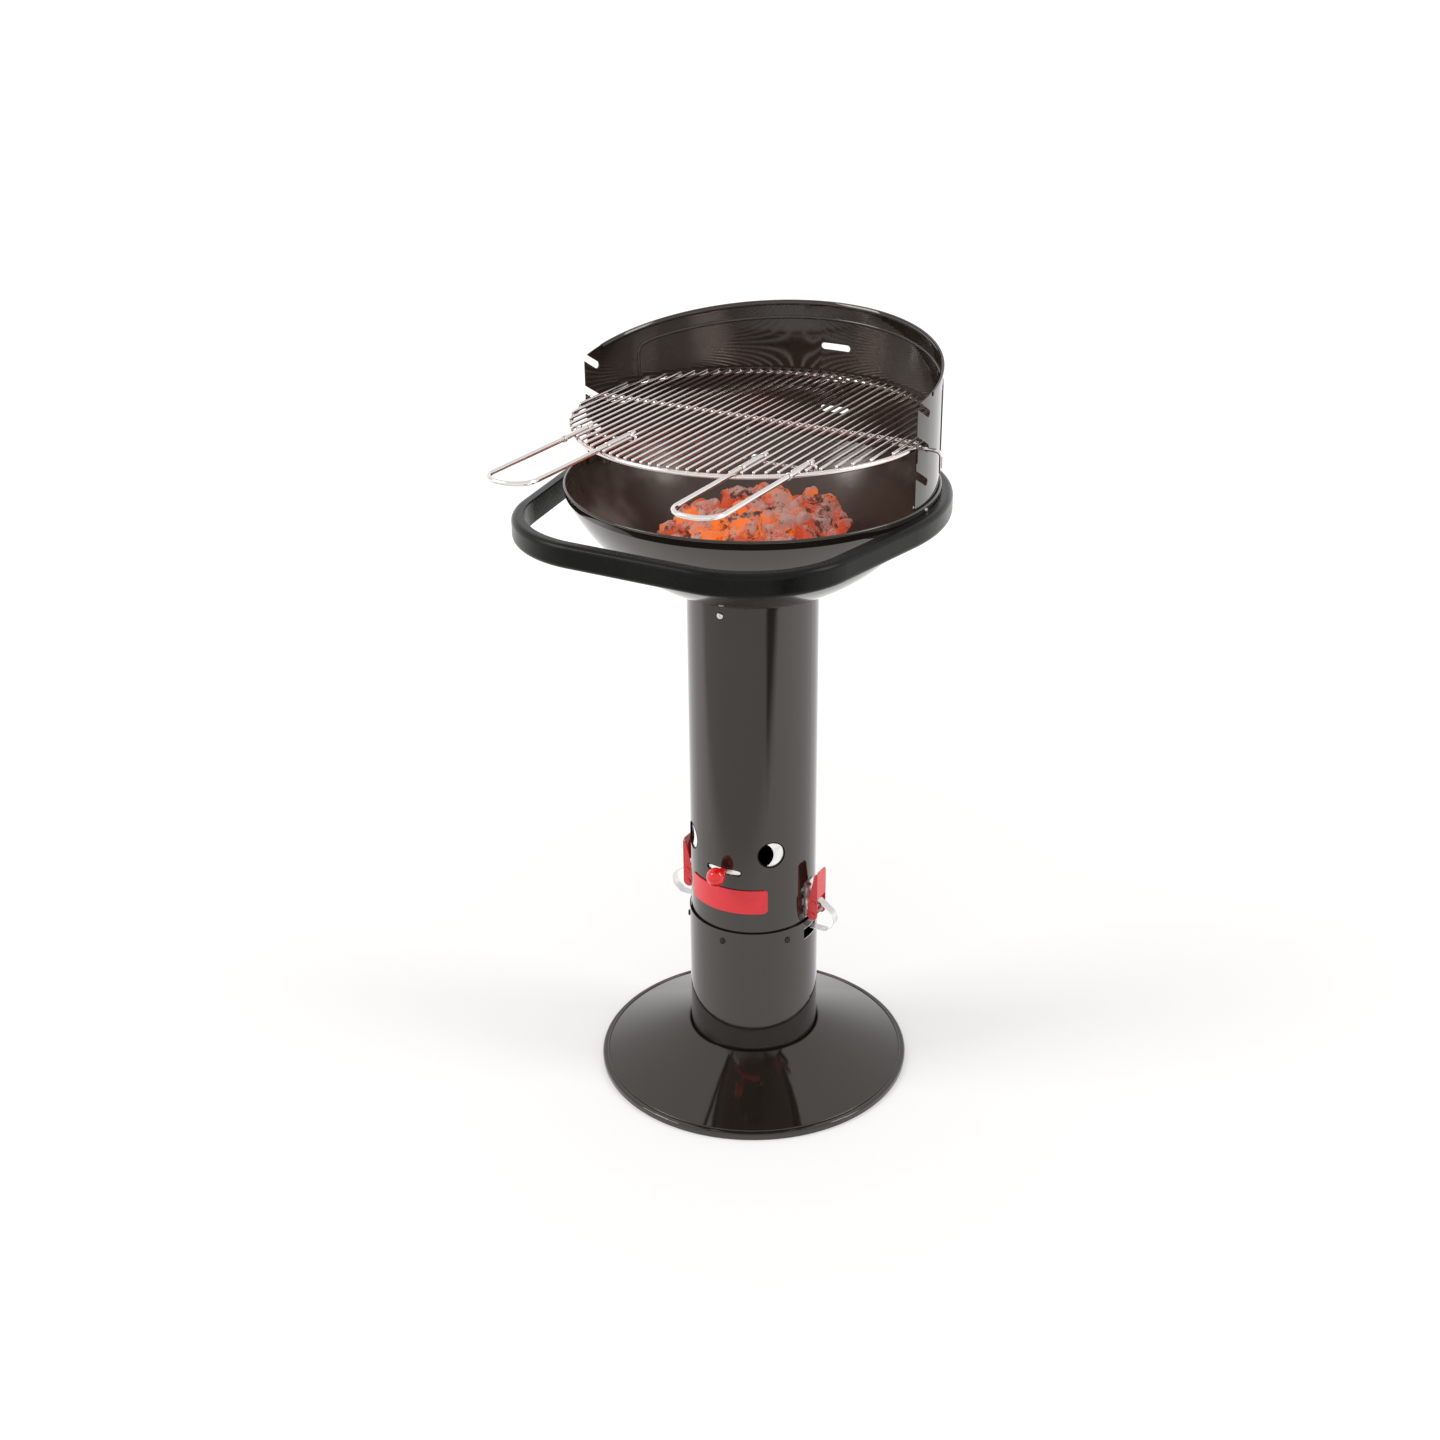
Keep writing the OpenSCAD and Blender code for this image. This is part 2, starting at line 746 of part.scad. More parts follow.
screen_r = bowl_r - rim_bead_inset - rim_bead_r - screen_gap;
screen_in_r = screen_r - screen_sheet;
screen_low_z = dish_top_z - 1;
screen_tilt = atan(screen_rise / screen_r);
hem_h = 5.5;
hem_t = 1.3;
hem_start = 10;
hem_half_angle = screen_half_angle - hem_start;
screen_top_z = screen_side_z + screen_rise;
side_hook_seat = 0.5;
notch_r = 4.5;
grate_hook_z = grate_z - grate_rim_wire - side_hook_wire;
notch_end = [side_hook_y - side_hook_seat, grate_hook_z - side_hook_wire - seat_gap + notch_r];
notch_levels = [-1, 0, 1];
rear_slot_w = 42;
rear_slot_h = 8.5;
rear_slot_z = grate_z - grate_rim_wire - tab_wire * 2 - seat_gap + rear_slot_h / 2;

// Everything above the screen's slanting top edge, raised by an amount
module above_screen(lift) {
    translate([0, 0, screen_side_z + lift])
        rotate([screen_tilt, 0, 0])
            translate([-bowl_r, -bowl_r * 1.5, 0])
                cube([bowl_r * 2, bowl_r * 3, screen_rise * 4]);
}

module notch_cut() {
    translate(notch_end)
        rotate(180 - notch_slope)
            union() {
                circle(r = notch_r);
                translate([0, -notch_r])
                    square([bowl_r, notch_r * 2]);
            }
}

module rear_slot_cut() {
    half = (rear_slot_w - rear_slot_h) / 2;
    for (s = [-1, 1])
        translate([s * half, 0])
            circle(r = rear_slot_h / 2);
    square([half * 2, rear_slot_h], center = true);
}

module windscreen() {
    color(enamel)
        difference() {
            union() {
                tube_part(screen_in_r, screen_r, screen_low_z, screen_top_z + hem_h,
                    180 - screen_half_angle, 180 + screen_half_angle);
                intersection() {
                    tube_part(screen_in_r, screen_r + hem_t, screen_low_z, screen_top_z + hem_h,
                        180 - hem_half_angle, 180 + hem_half_angle);
                    above_screen(-hem_h);
                }
            }
            above_screen(0);
            for (level = notch_levels)
                translate([0, 0, level * level_pitch])
                    rotate([90, 0, 90])
                        linear_extrude(bowl_r * 3, center = true)
                            notch_cut();
            for (level = notch_levels)
                translate([0, 0, rear_slot_z + level * level_pitch])
                    rotate([90, 0, 180])
                        linear_extrude(bowl_r * 1.5)
                            rear_slot_cut();
            for (a = concat(side_bolt_angles, rear_bolt_angles))
                wall_bore(a, screen_bolt_z, screen_r, screw_r + weld_gap);
        }
}

bolt_head_r = 2.9;
bolt_head_h = 1.8;
bolt_inner_reach = 13;
bolt_nut_r = 4.4;
bolt_nut_h = 4;

module screen_bolts() {
    color(bright)
        for (a = concat(side_bolt_angles, rear_bolt_angles))
            radial(a, screen_bolt_z) {
                translate([0, 0, screen_in_r - bolt_inner_reach])
                    cylinder(r = screw_r, h = bolt_inner_reach + bowl_r - screen_in_r + 0.5);
                translate([0, 0, bowl_r + weld_gap])
                    cylinder(r1 = bolt_head_r, r2 = bolt_head_r * 0.76, h = bolt_head_h);
            }
}

module screen_nuts() {
    color(bright)
        for (a = concat(side_bolt_angles, rear_bolt_angles))
            radial(a, screen_bolt_z)
                translate([0, 0, screen_in_r - bolt_nut_h - seat_gap * 2])
                    difference() {
                        cylinder(r = bolt_nut_r, h = bolt_nut_h, $fn = 6);
                        translate([0, 0, -1])
                            cylinder(r = screw_r + weld_gap, h = bolt_nut_h + 2);
                    }
}

// Rail: a D section swept along straight runs and arcs
rail_in_r = bowl_r + seat_gap;
rail_round = 7;
rail_inner_round = 1.5;
leave_point = rail_in_r * heading(-rail_leave);
leave_dir = heading(90 - rail_leave);
corner_in_r = rail_corner_r - rail_d;
corner_centre_y = rail_corner_r - rail_front;
corner_run = (leave_point.y - corner_centre_y + corner_in_r * sin(rail_leave)) / leave_dir.y;
corner_centre = [leave_point.x - corner_run * leave_dir.x - corner_in_r * cos(rail_leave),
    corner_centre_y];

// The bends stand a hair proud of the straight runs that slide into them
bend_proud = 0.03;
run_overlap = 1;

module rail_section(grow) {
    half = rail_h / 2 + grow;
    translate([-grow, -half + rail_inner_round])
        square([rail_d - rail_round + grow, half * 2 - rail_inner_round * 2]);
    translate([rail_inner_round - grow, -half])
        square([rail_d - rail_round - rail_inner_round + grow * 2, half * 2]);
    translate([rail_d - rail_round - 1, -half + rail_round])
        square([rail_round + 1 + grow, half * 2 - rail_round * 2]);
    for (s = [-1, 1]) {
        translate([rail_d - rail_round + grow, s * (half - rail_round)])
            circle(r = rail_round, $fn = 48);
        translate([rail_inner_round - grow, s * (half - rail_inner_round)])
            circle(r = rail_inner_round, $fn = 24);
    }
}

module rail_run(p, q) {
    d = q - p;
    translate([p.x, p.y, rail_z])
        rotate([90, 0, 90 + atan2(d.y, d.x)])
            translate([0, 0, -run_overlap])
                linear_extrude(norm(d) + run_overlap * 2)
                    mirror([1, 0])
                        rail_section(0);
}

module rail_bend(centre, r_in, a_from, a_to) {
    translate([centre.x, centre.y, rail_z])
        rotate([0, 0, a_from])
            rotate_extrude(angle = a_to - a_from, $fn = 180)
                translate([r_in, 0])
                    rail_section(bend_proud);
}

module rail_cap() {
    cap_r = rail_d / 2;
    rotate([0, 0, rail_end])
        translate([rail_in_r + cap_r, 0, rail_z])
            rotate_extrude()
                intersection() {
                    translate([-cap_r, 0])
                        rail_section(0);
                    translate([0, -rail_h])
                        square([rail_d, rail_h * 2]);
                }
}

module dish_body(inset) {
    rotate_extrude($fn = 180)
        intersection() {
            dish_half(inset);
            square([bowl_r, dish_top_z]);
        }
    translate([0, 0, dish_top_z - 0.01])
        cylinder(r = bowl_r - inset, h = bowl_rim_z - dish_top_z, $fn = 180);
}

boss_r = 6;
boss_h = 10;
boss_sink = 8;
rail_skin = 3;

module rail() {
    corner_start = [corner_centre.x, -rail_front + rail_d];
    corner_end = corner_centre + corner_in_r * heading(-rail_leave);
    color([0.09, 0.09, 0.09])
        difference() {
            union() {
                rail_run([-corner_start.x, corner_start.y], corner_start);
                for (side = [-1, 1])
                    on_side(side) {
                        rail_bend(corner_centre, corner_in_r, -90, -rail_leave);
                        rail_run(corner_end, leave_point);
                        rail_bend([0, 0], rail_in_r, -rail_leave, rail_end);
                        rail_cap();
                    }
                for (a = rail_screw_angles, s = [-1, 1])
                    radial(a * s, rail_screw_z)
                        translate([0, 0, rail_in_r - boss_sink])
                            cylinder(r = boss_r, h = boss_h);
            }
            dish_body(-seat_gap + 0.1);
            for (a = rail_screw_angles, s = [-1, 1])
                radial(a * s, rail_screw_z)
                    translate([0, 0, bowl_r - boss_r * 2])
                        cylinder(r = screw_r + weld_gap, h = boss_r * 2 + rail_d - rail_skin);
            for (a = side_bolt_angles)
                wall_bore(a, screen_bolt_z, rail_in_r + bolt_head_h + seat_gap - bore_depth / 2,
                    bolt_nut_r);
        }
}

module rail_screws() {
    head_depth = 3;
    tip_r = rail_in_r + rail_d - rail_skin * 2;
    seat_r = dish_r(rail_screw_z, bowl_sheet);
    color(bright) {
        for (a = rail_screw_angles, s = [-1, 1])
            radial(a * s, rail_screw_z)
                translate([0, 0, seat_r - head_depth])
                    cylinder(r = screw_r, h = tip_r - seat_r + head_depth);
        intersection() {
            for (a = rail_screw_angles, s = [-1, 1])
                radial(a * s, rail_screw_z)
                    translate([0, 0, seat_r - head_depth - 0.5])
                        cylinder(r = screw_head_r, h = head_depth * 3);
            dish_body(bowl_sheet + 0.15);
        }
    }
}

// Charcoal

fuel_ring_r = fuel_grate_r - fuel_wire;
fuel_z = dish_z(fuel_ring_r, bowl_sheet + fuel_wire + seat_gap);
fuel_bar_pitch = 16;
fuel_bars = floor((fuel_ring_r - fuel_bar_pitch / 2) / fuel_bar_pitch);
fuel_bar_z = fuel_z + fuel_wire * 1.8;

module ring_wire(r, wire_r, z) {
    translate([0, 0, z])
        rotate_extrude($fn = 120)
            translate([r, 0])
                circle(r = wire_r, $fn = 24);
}

module charcoal_grate() {
    color("dimgray") {
        ring_wire(fuel_ring_r, fuel_wire, fuel_z);
        for (i = [-fuel_bars:fuel_bars])
            let (x = i * fuel_bar_pitch, y = sqrt(pow(fuel_ring_r, 2) - pow(x, 2)))
                wire([x, -y, fuel_bar_z], [x, y, fuel_bar_z], fuel_wire);
        for (s = [-1, 1])
            let (y = s * fuel_ring_r * 0.5, x = sqrt(pow(fuel_ring_r, 2) - pow(y, 2)))
                wire([-x, y, fuel_z], [x, y, fuel_z], fuel_wire);
    }
}

heap_base_z = fuel_bar_z + fuel_wire + seat_gap;
lump_r = 21;

// One broken lump: a ball cut down by a few planes, turned by its number
module lump(n) {
    rotate([n * 47, n * 71, n * 113])
        scale(0.85 + 0.3 * abs(sin(n * 53)))
            intersection() {
                rotate([0, 0, n * 17])
                    cube([lump_r * 1.7, lump_r * 1.25, lump_r * 1.5], center = true);
                rotate([45, 35, n * 31])
                    cube([lump_r * 1.75, lump_r * 1.6, lump_r * 1.5], center = true);
            }
}

// Rings of lumps: share of the heap's radius, number of lumps, share of its height
lump_rings = [[0, 1, 0.52], [0.28, 6, 0.5], [0.54, 10, 0.46], [0.79, 15, 0.34]];

module charcoal() {
    color([0.85, 0.35, 0.15])
        intersection() {
            translate([0, 0, heap_base_z])
                cylinder(r = heap_r, h = heap_h);
            union() {
                translate([0, 0, heap_base_z - 1])
                    cylinder(r1 = heap_r * 0.95, r2 = heap_r * 0.7, h = heap_h * 0.66, $fn = 24);
                for (ring = lump_rings, i = [0:ring[1] - 1])
                    let (a = 360 / ring[1] * (i + ring[0]), z = heap_base_z + heap_h * ring[2])
                        translate(concat(polar(heap_r * ring[0], a), [z + lump_r * 0.9]))
                            lump(i + ring[1]);
            }
        }
}

// Cooking grate

grate_r = screen_in_r - grate_gap;
rim_ring_r = grate_r - grate_rim_wire;
handle_tip = grate_r + handle_reach;
handle_root = grate_r - handle_seat;
rod_z = grate_z + grate_rim_wire + rod_wire - weld_gap;
rod_count = floor((rim_ring_r - grate_rim_wire) / rod_pitch);
crossbar_wire = 3;
handle_z = grate_z + grate_rim_wire + handle_wire - weld_gap;
handle_x = 10 * rod_pitch;
handle_half = 2.5 * rod_pitch;
tie_wire = 2;
tie_seat = 14;
tie_y = -handle_root - tie_seat;
tie_end = handle_half + handle_wire + tie_wire * 2;

module grate_rim() {
    color(bright)
        ring_wire(rim_ring_r, grate_rim_wire, grate_z);
}

module grate_rods() {
    color(bright)
        for (i = [-rod_count:rod_count])
            let (x = i * rod_pitch, y = sqrt(pow(rim_ring_r, 2) - pow(x, 2)))
                wire([x, -y, rod_z], [x, y, rod_z], rod_wire);
}

module grate_crossbar() {
    x = sqrt(pow(rim_ring_r, 2) - pow(side_hook_y, 2)) - grate_rim_wire - weld_gap;
    color(bright)
        wire([-x, side_hook_y, grate_z], [x, side_hook_y, grate_z], crossbar_wire);
}

// Wire bent by a right angle in the plane of the axis and the side
module down_bend(r, wire_r) {
    rotate([90, 0, 0])
        rotate_extrude(angle = 90)
            translate([r, 0])
                circle(r = wire_r, $fn = 24);
}

side_hook_stand = 17.8;
side_hook_drop = 25.5;
side_hook_root = 37;

module grate_side_hooks() {
    bend_r = 7;
    leg_x = screen_r + side_hook_stand;
    leg_low = grate_z - side_hook_drop;
    root_x = rim_ring_r - side_hook_root;
    z = grate_hook_z + weld_gap;
    color(bright)
        for (side = [-1, 1])
            on_side(side)
                translate([0, side_hook_y, 0]) {
                    wire([root_x, 0, z], [leg_x - bend_r, 0, z], side_hook_wire);
                    translate([leg_x - bend_r, 0, z - bend_r])
                        down_bend(bend_r, side_hook_wire);
                    wire([leg_x, 0, leg_low], [leg_x, 0, z - bend_r], side_hook_wire);
                }
}

tab_half = 13;
tab_stand = 4;
tab_root = 16;

module grate_rear_tab() {
    half = tab_half;
    reach = screen_r + tab_stand;
    root = rim_ring_r - tab_root;
    bend_r = 5;
    z = grate_z - grate_rim_wire - tab_wire + weld_gap;
    color(bright) {
        for (side = [-1, 1])
            on_side(side) {
                wire([half, root, z], [half, reach - bend_r, z], tab_wire);
                translate([half - bend_r, reach - bend_r, z])
                    rotate_extrude(angle = 90)
                        translate([bend_r, 0])
                            circle(r = tab_wire, $fn = 24);
            }
        wire([-half + bend_r, reach, z], [half - bend_r, reach, z], tab_wire);
    }
}

module grate_handle(side) {
    color(bright)
        on_side(side) {
            for (s = [-1, 1])
                translate([handle_x, 0, handle_z])
                    mirror([s < 0 ? 1 : 0, 0, 0]) {
                        wire([handle_half, -handle_tip + handle_corner_r, 0],
                            [handle_half, -handle_root, 0], handle_wire);
                        translate([handle_half - handle_corner_r, -handle_tip + handle_corner_r, 0])
                            rotate([0, 0, -90])
                                rotate_extrude(angle = 90)
                                    translate([handle_corner_r, 0])
                                        circle(r = handle_wire, $fn = 24);
                    }
            flat = handle_half - handle_corner_r;
            if (flat > 0)
                wire([handle_x - flat, -handle_tip, handle_z],
                    [handle_x + flat, -handle_tip, handle_z], handle_wire);
        }
}

module handle_ties() {
    z = rod_z - rod_wire - tie_wire + weld_gap;
    color(bright)
        for (side = [-1, 1])
            on_side(side)
                wire([handle_x - tie_end, tie_y, z], [handle_x + tie_end, tie_y, z], tie_wire);
}

foot_disc();
base_tube();
tank_floor();
foot_bolts();
foot_nuts();
stop_screws();
column_tube();
column_screws();
damper_ring();
damper_stud();
damper_knob();
front_plate();
latch_bracket(-1);  // latch_bracket_left
latch_bracket(1);  // latch_bracket_right
bracket_rivets();
lever_pin(-1);  // lever_pin_left
lever_pin(1);  // lever_pin_right
lever(-1);  // lever_left
lever(1);  // lever_right
hook_pin(-1);  // hook_pin_left
hook_pin(1);  // hook_pin_right
sprung_hook(-1);  // sprung_hook_left
sprung_hook(1);  // sprung_hook_right
bowl();
windscreen();
screen_bolts();
screen_nuts();
rail();
rail_screws();
charcoal_grate();
charcoal();
grate_rim();
grate_rods();
grate_crossbar();
grate_side_hooks();
grate_rear_tab();
grate_handle(-1);  // grate_handle_left
grate_handle(1);  // grate_handle_right
handle_ties();
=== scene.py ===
# %% [markdown]
# # A column charcoal grill
#
# The solids of this grill are already made: a foot with a tank, a tall column, a fire bowl, a
# windscreen, a hand rail and a wire grate. What they lack is the finish of each surface and the
# things that no drawing holds, such as burning coals. One way is to model everything anew in
# Blender. This lesson loads the solids as a fixed frame instead and dresses them, so that every
# joint and every size stays true.

# %% Load the frame
import json
import math
import random

import bmesh
import bpy
from mathutils import Matrix, Vector, noise


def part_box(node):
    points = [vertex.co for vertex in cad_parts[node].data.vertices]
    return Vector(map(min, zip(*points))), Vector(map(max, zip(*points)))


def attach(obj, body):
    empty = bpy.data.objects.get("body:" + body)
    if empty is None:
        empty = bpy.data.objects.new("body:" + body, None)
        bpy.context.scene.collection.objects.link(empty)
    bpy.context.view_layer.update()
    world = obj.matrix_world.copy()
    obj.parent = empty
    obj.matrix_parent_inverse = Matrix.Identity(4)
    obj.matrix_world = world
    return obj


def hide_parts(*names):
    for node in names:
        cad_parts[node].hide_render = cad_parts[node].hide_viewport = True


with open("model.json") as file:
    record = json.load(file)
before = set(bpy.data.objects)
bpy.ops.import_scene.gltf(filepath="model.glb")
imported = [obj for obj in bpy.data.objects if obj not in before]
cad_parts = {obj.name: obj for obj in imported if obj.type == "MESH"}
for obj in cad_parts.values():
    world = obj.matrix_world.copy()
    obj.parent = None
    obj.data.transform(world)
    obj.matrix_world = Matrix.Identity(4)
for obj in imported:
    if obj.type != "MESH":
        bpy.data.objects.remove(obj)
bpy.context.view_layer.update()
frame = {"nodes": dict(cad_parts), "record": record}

# %% [markdown]
# ## The camera
#
# The photograph was taken with a long lens from a little above the grate, and from the grill's
# right. A camera can be moved by hand until the picture fits, but this one was worked out from the
# ellipses of the round parts: 1954 pixels to the focus in a frame of 1440. Its axis passes a
# little right of the middle, which a small shift gives back.

# %% Camera
PHOTO_SIZE = 1440
FOCUS_PIXELS = 1954.0
AXIS_PIXEL_X = 764.5
CAMERA_PLACE = (1.1171, -2.0431, 1.6147)
CAMERA_PITCH = math.radians(25.232)
CAMERA_TURN = math.radians(28.3)


def link_object(name, data):
    """Puts a mesh, curve, lamp or camera into the scene as an object."""
    made = bpy.data.objects.new(name, data)
    bpy.context.scene.collection.objects.link(made)
    return made


camera_data = bpy.data.cameras.new("photo_camera")
camera_data.lens = camera_data.sensor_width * FOCUS_PIXELS / PHOTO_SIZE
camera_data.shift_x = (PHOTO_SIZE / 2 - AXIS_PIXEL_X) / PHOTO_SIZE
camera_data.clip_end = 200
camera = link_object("photo_camera", camera_data)
camera.location = CAMERA_PLACE
camera.rotation_euler = (math.pi / 2 - CAMERA_PITCH, 0, CAMERA_TURN)
bpy.context.scene.camera = camera
print("lens:", round(camera_data.lens, 2), "mm")

# %% [markdown]
# ## Nodes in few words
#
# Every material below is a small tree of nodes. Such a tree can be drawn by hand in the editor. In
# a script two helpers stand for the hand: one adds a node with its settings, and the other fills
# its sockets, where a plain value is typed in and another node's output is linked.

# %% Nodes and sockets
def add_node(tree, kind, **settings):
    made = tree.nodes.new(kind)
    for name, value in settings.items():
        setattr(made, name, value)
    return made


def feed(tree, made, **sockets):
    """Fills sockets by name, with _ for a space, or by number as i0, i1 and so on."""
    for name, value in sockets.items():
        label = name.replace("_", " ")
        numbered = label[0] == "i" and label[1:].isdigit()
        socket = made.inputs[int(label[1:]) if numbered else label]
        if isinstance(value, bpy.types.NodeSocket):
            tree.links.new(value, socket)
        else:
            socket.default_value = value
    return made


print("nodes can be added and fed")

# %% [markdown]
# A few nodes come up again and again: where a point is, which way its surface looks, arithmetic,
# a smooth map from one range to another, cloudy noise, and a mix of two colours. Each gets a
# function that returns its output, so that a tree reads like a formula, not like a list of wires.

# %% Nodes for places and numbers
def object_place(tree):
    """Where a point lies in the object's own space, which is that of the frame, in metres."""
    return add_node(tree, "ShaderNodeTexCoord").outputs["Object"]


def surface_normal(tree):
    return add_node(tree, "ShaderNodeNewGeometry").outputs["Normal"]


def axis_value(tree, vector, axis):
    """The X, Y or Z of a vector."""
    return feed(tree, add_node(tree, "ShaderNodeSeparateXYZ"), Vector=vector).outputs[axis]


def vector_math(tree, operation, a, b=(0, 0, 0)):
    """Vector arithmetic. A length, a distance and a dot product come out as a number."""
    made = feed(tree, add_node(tree, "ShaderNodeVectorMath", operation=operation), i0=a, i1=b)
    number = operation in ("LENGTH", "DISTANCE", "DOT_PRODUCT")
    return made.outputs["Value" if number else "Vector"]


def math_node(tree, operation, a, b, clamp=False):
    made = add_node(tree, "ShaderNodeMath", operation=operation, use_clamp=clamp)
    return feed(tree, made, i0=a, i1=b).outputs[0]


def plus(tree, a, b):
    return math_node(tree, "ADD", a, b)


def times(tree, a, b, clamp=False):
    return math_node(tree, "MULTIPLY", a, b, clamp)


print("places and numbers ready")


# %% Nodes for ranges, noise and colours
def ramp_value(tree, value, low, high, to_low=0.0, to_high=1.0):
    """Maps a value smoothly from one range to another."""
    made = add_node(tree, "ShaderNodeMapRange", interpolation_type="SMOOTHSTEP")
    feed(tree, made, Value=value, From_Min=low, From_Max=high, To_Min=to_low, To_Max=to_high)
    return made.outputs[0]


def noise_value(tree, place, scale, detail=3.0, roughness=0.55):
    made = add_node(tree, "ShaderNodeTexNoise")
    feed(tree, made, Vector=place, Scale=scale, Detail=detail, Roughness=roughness)
    return made.outputs["Fac"]


def mix_colour(tree, amount, a, b):
    """Mixes two colours, each three plain numbers or the output of a node."""
    made = add_node(tree, "ShaderNodeMix", data_type="RGBA")
    a, b = [c if isinstance(c, bpy.types.NodeSocket) else (*c, 1) for c in (a, b)]
    return feed(tree, made, i0=amount, i6=a, i7=b).outputs[2]


print("ranges, noise and colours ready")

# %% [markdown]
# An effect that many finishes share is best kept in one place. A node group is such a place: a box
# with named sockets that is built once, and that each tree uses with its own values. What every
# material has for itself is one Principled shader. A number or colour that is the same all over
# goes straight on it, where an export finds it.

# %% Groups and materials
FINISHES = {}


def new_group(name, inputs, *outputs):
    """A group with inputs {name: default} and named outputs, which are numbers but for Colour."""
    group = bpy.data.node_groups.new(name, "ShaderNodeTree")
    for label, default in inputs.items():
        kind = "NodeSocketColor" if isinstance(default, tuple) else "NodeSocketFloat"
        group.interface.new_socket(label, in_out="INPUT", socket_type=kind).default_value = default
    for label in outputs:
        kind = "NodeSocketColor" if label == "Colour" else "NodeSocketFloat"
        group.interface.new_socket(label, in_out="OUTPUT", socket_type=kind)
    return group, add_node(group, "NodeGroupInput").outputs, add_node(group, "NodeGroupOutput")


def use_group(tree, group, **values):
    return feed(tree, add_node(tree, "ShaderNodeGroup", node_tree=group), **values).outputs


def new_material(name, colour, roughness, metallic=0.0, **more):
    """A finish with one Principled shader, kept under the name of its slot in the record."""
    material = FINISHES[name] = bpy.data.materials.new(name)
    material.use_nodes = True
    tree = material.node_tree
    shader = tree.nodes["Principled BSDF"]
    feed(tree, shader, Base_Color=(*colour, 1), Roughness=roughness, Metallic=metallic, **more)
    return material, tree, shader


def bump(tree, shader, height, distance, strength):
    made = add_node(tree, "ShaderNodeBump")
    feed(tree, made, Height=height, Distance=distance, Strength=strength)
    feed(tree, shader, Normal=made.outputs[0])


print("groups and materials ready")

# %% [markdown]
# ## Effects that several finishes share
#
# Enamel, lacquer and plastic flow a little before they set, which leaves a faint wave like orange
# peel and a few specks. It could be painted on a map, but noise in the object's own space needs no
# map and has no seams. The group puts out a height, and each finish sets its own scale.

# %% Group: flowed skin
def make_flowed_skin():
    given = {"Wave Scale": 60.0, "Speck Scale": 900.0, "Specks": 0.3}
    group, given, out = new_group("flowed_skin", given, "Height")
    place = object_place(group)
    wave = noise_value(group, place, given["Wave Scale"], detail=2.0)
    dots = noise_value(group, place, given["Speck Scale"], detail=1.0)
    specks = times(group, ramp_value(group, dots, 0.72, 0.8), given["Specks"])
    feed(group, out, Height=plus(group, wave, specks))
    return group


flowed_skin = make_flowed_skin()
print("group:", flowed_skin.name)

# %% [markdown]
# Things that are handled and wiped carry marks that change the gloss more than the colour. They
# could be drawn one by one, but a broad noise mixed with a fine one looks like the trace of a
# cloth. The group gives a roughness between a clean and a wiped value, and also the mask itself.

# %% Group: wiped marks
FINE_MARKS = 14.0
BROAD_SHARE = 0.75


def make_wiped_marks():
    given = {"Scale": 9.0, "Clean": 0.08, "Wiped": 0.16}
    group, given, out = new_group("wiped_marks", given, "Roughness", "Mask")
    place = object_place(group)
    broad = noise_value(group, place, given["Scale"], detail=4.0, roughness=0.6)
    fine = noise_value(group, place, times(group, given["Scale"], FINE_MARKS), detail=2.0)
    both = plus(group, times(group, broad, BROAD_SHARE), times(group, fine, 1 - BROAD_SHARE))
    mask = ramp_value(group, both, 0.42, 0.68)
    span = math_node(group, "SUBTRACT", given["Wiped"], given["Clean"])
    feed(group, out, Roughness=plus(group, times(group, mask, span), given["Clean"]), Mask=mask)
    return group


wiped_marks = make_wiped_marks()
print("group:", wiped_marks.name)

# %% [markdown]
# The fire leaves its mark on everything round it, and enamel near the coals takes a brown bloom.
# Each part could be tinted by eye. One group does it for all instead: it gives how near a point is
# to the fire, broken up by noise. A bowl has two faces in one place, so the group also asks
# whether the surface looks at the fire.

# %% Group: fire bloom
FIRE_CENTRE = Vector((0.0, 0.0, 0.79))


def make_fire_bloom():
    given = {"Near": 0.14, "Far": 0.34, "Breakup": 0.07}
    group, given, out = new_group("fire_bloom", given, "Mask", "Near")
    place = object_place(group)
    away = vector_math(group, "DISTANCE", place, FIRE_CENTRE)
    cloud = noise_value(group, place, 16.0, detail=5.0, roughness=0.65)
    cloud = times(group, math_node(group, "SUBTRACT", cloud, 0.5), given["Breakup"])
    near = ramp_value(group, plus(group, away, cloud), given["Far"], given["Near"])
    towards = vector_math(group, "SUBTRACT", FIRE_CENTRE, place)
    aim = vector_math(group, "NORMALIZE", towards)
    facing = vector_math(group, "DOT_PRODUCT", aim, surface_normal(group))
    feed(group, out, Near=near, Mask=times(group, near, ramp_value(group, facing, -0.1, 0.25)))
    return group


fire_bloom = make_fire_bloom()
print("group:", fire_bloom.name)

# %% [markdown]
# The undersides of the wires face the heat, and the bright plate there is tinted straw and copper.
# If the tint went by distance alone, the tops of the wires would brown as well. So this group
# starts from the downward part of the normal, makes it patchy, and lets the distance fade it out.

# %% Group: heat tint
def make_heat_tint():
    given = {"Bright": (0.8, 0.78, 0.76, 1), "Tint": (0.6, 0.3, 0.2, 1),
             "Underside": 0.8, "Overall": 0.2}
    group, given, out = new_group("heat_tint", given, "Colour")
    below = ramp_value(group, axis_value(group, surface_normal(group), "Z"), 0.35, -0.6)
    clouds = noise_value(group, object_place(group), 22.0)
    patchy = ramp_value(group, clouds, 0.3, 0.7, to_low=0.45)
    near = use_group(group, fire_bloom, Near=0.12, Far=0.42)["Near"]
    amount = plus(group, times(group, below, given["Underside"]), given["Overall"])
    amount = times(group, times(group, amount, patchy), near, clamp=True)
    feed(group, out, Colour=mix_colour(group, amount, given["Bright"], given["Tint"]))
    return group


heat_tint = make_heat_tint()
print("group:", heat_tint.name)

# %% [markdown]
# Rolled sheet and drawn wire carry fine lines along the way they were made. An anisotropic shader
# gives their sheen but no line that can be seen. Noise stretched a hundredfold along one direction
# gives the lines themselves, and each metal sets its own direction.

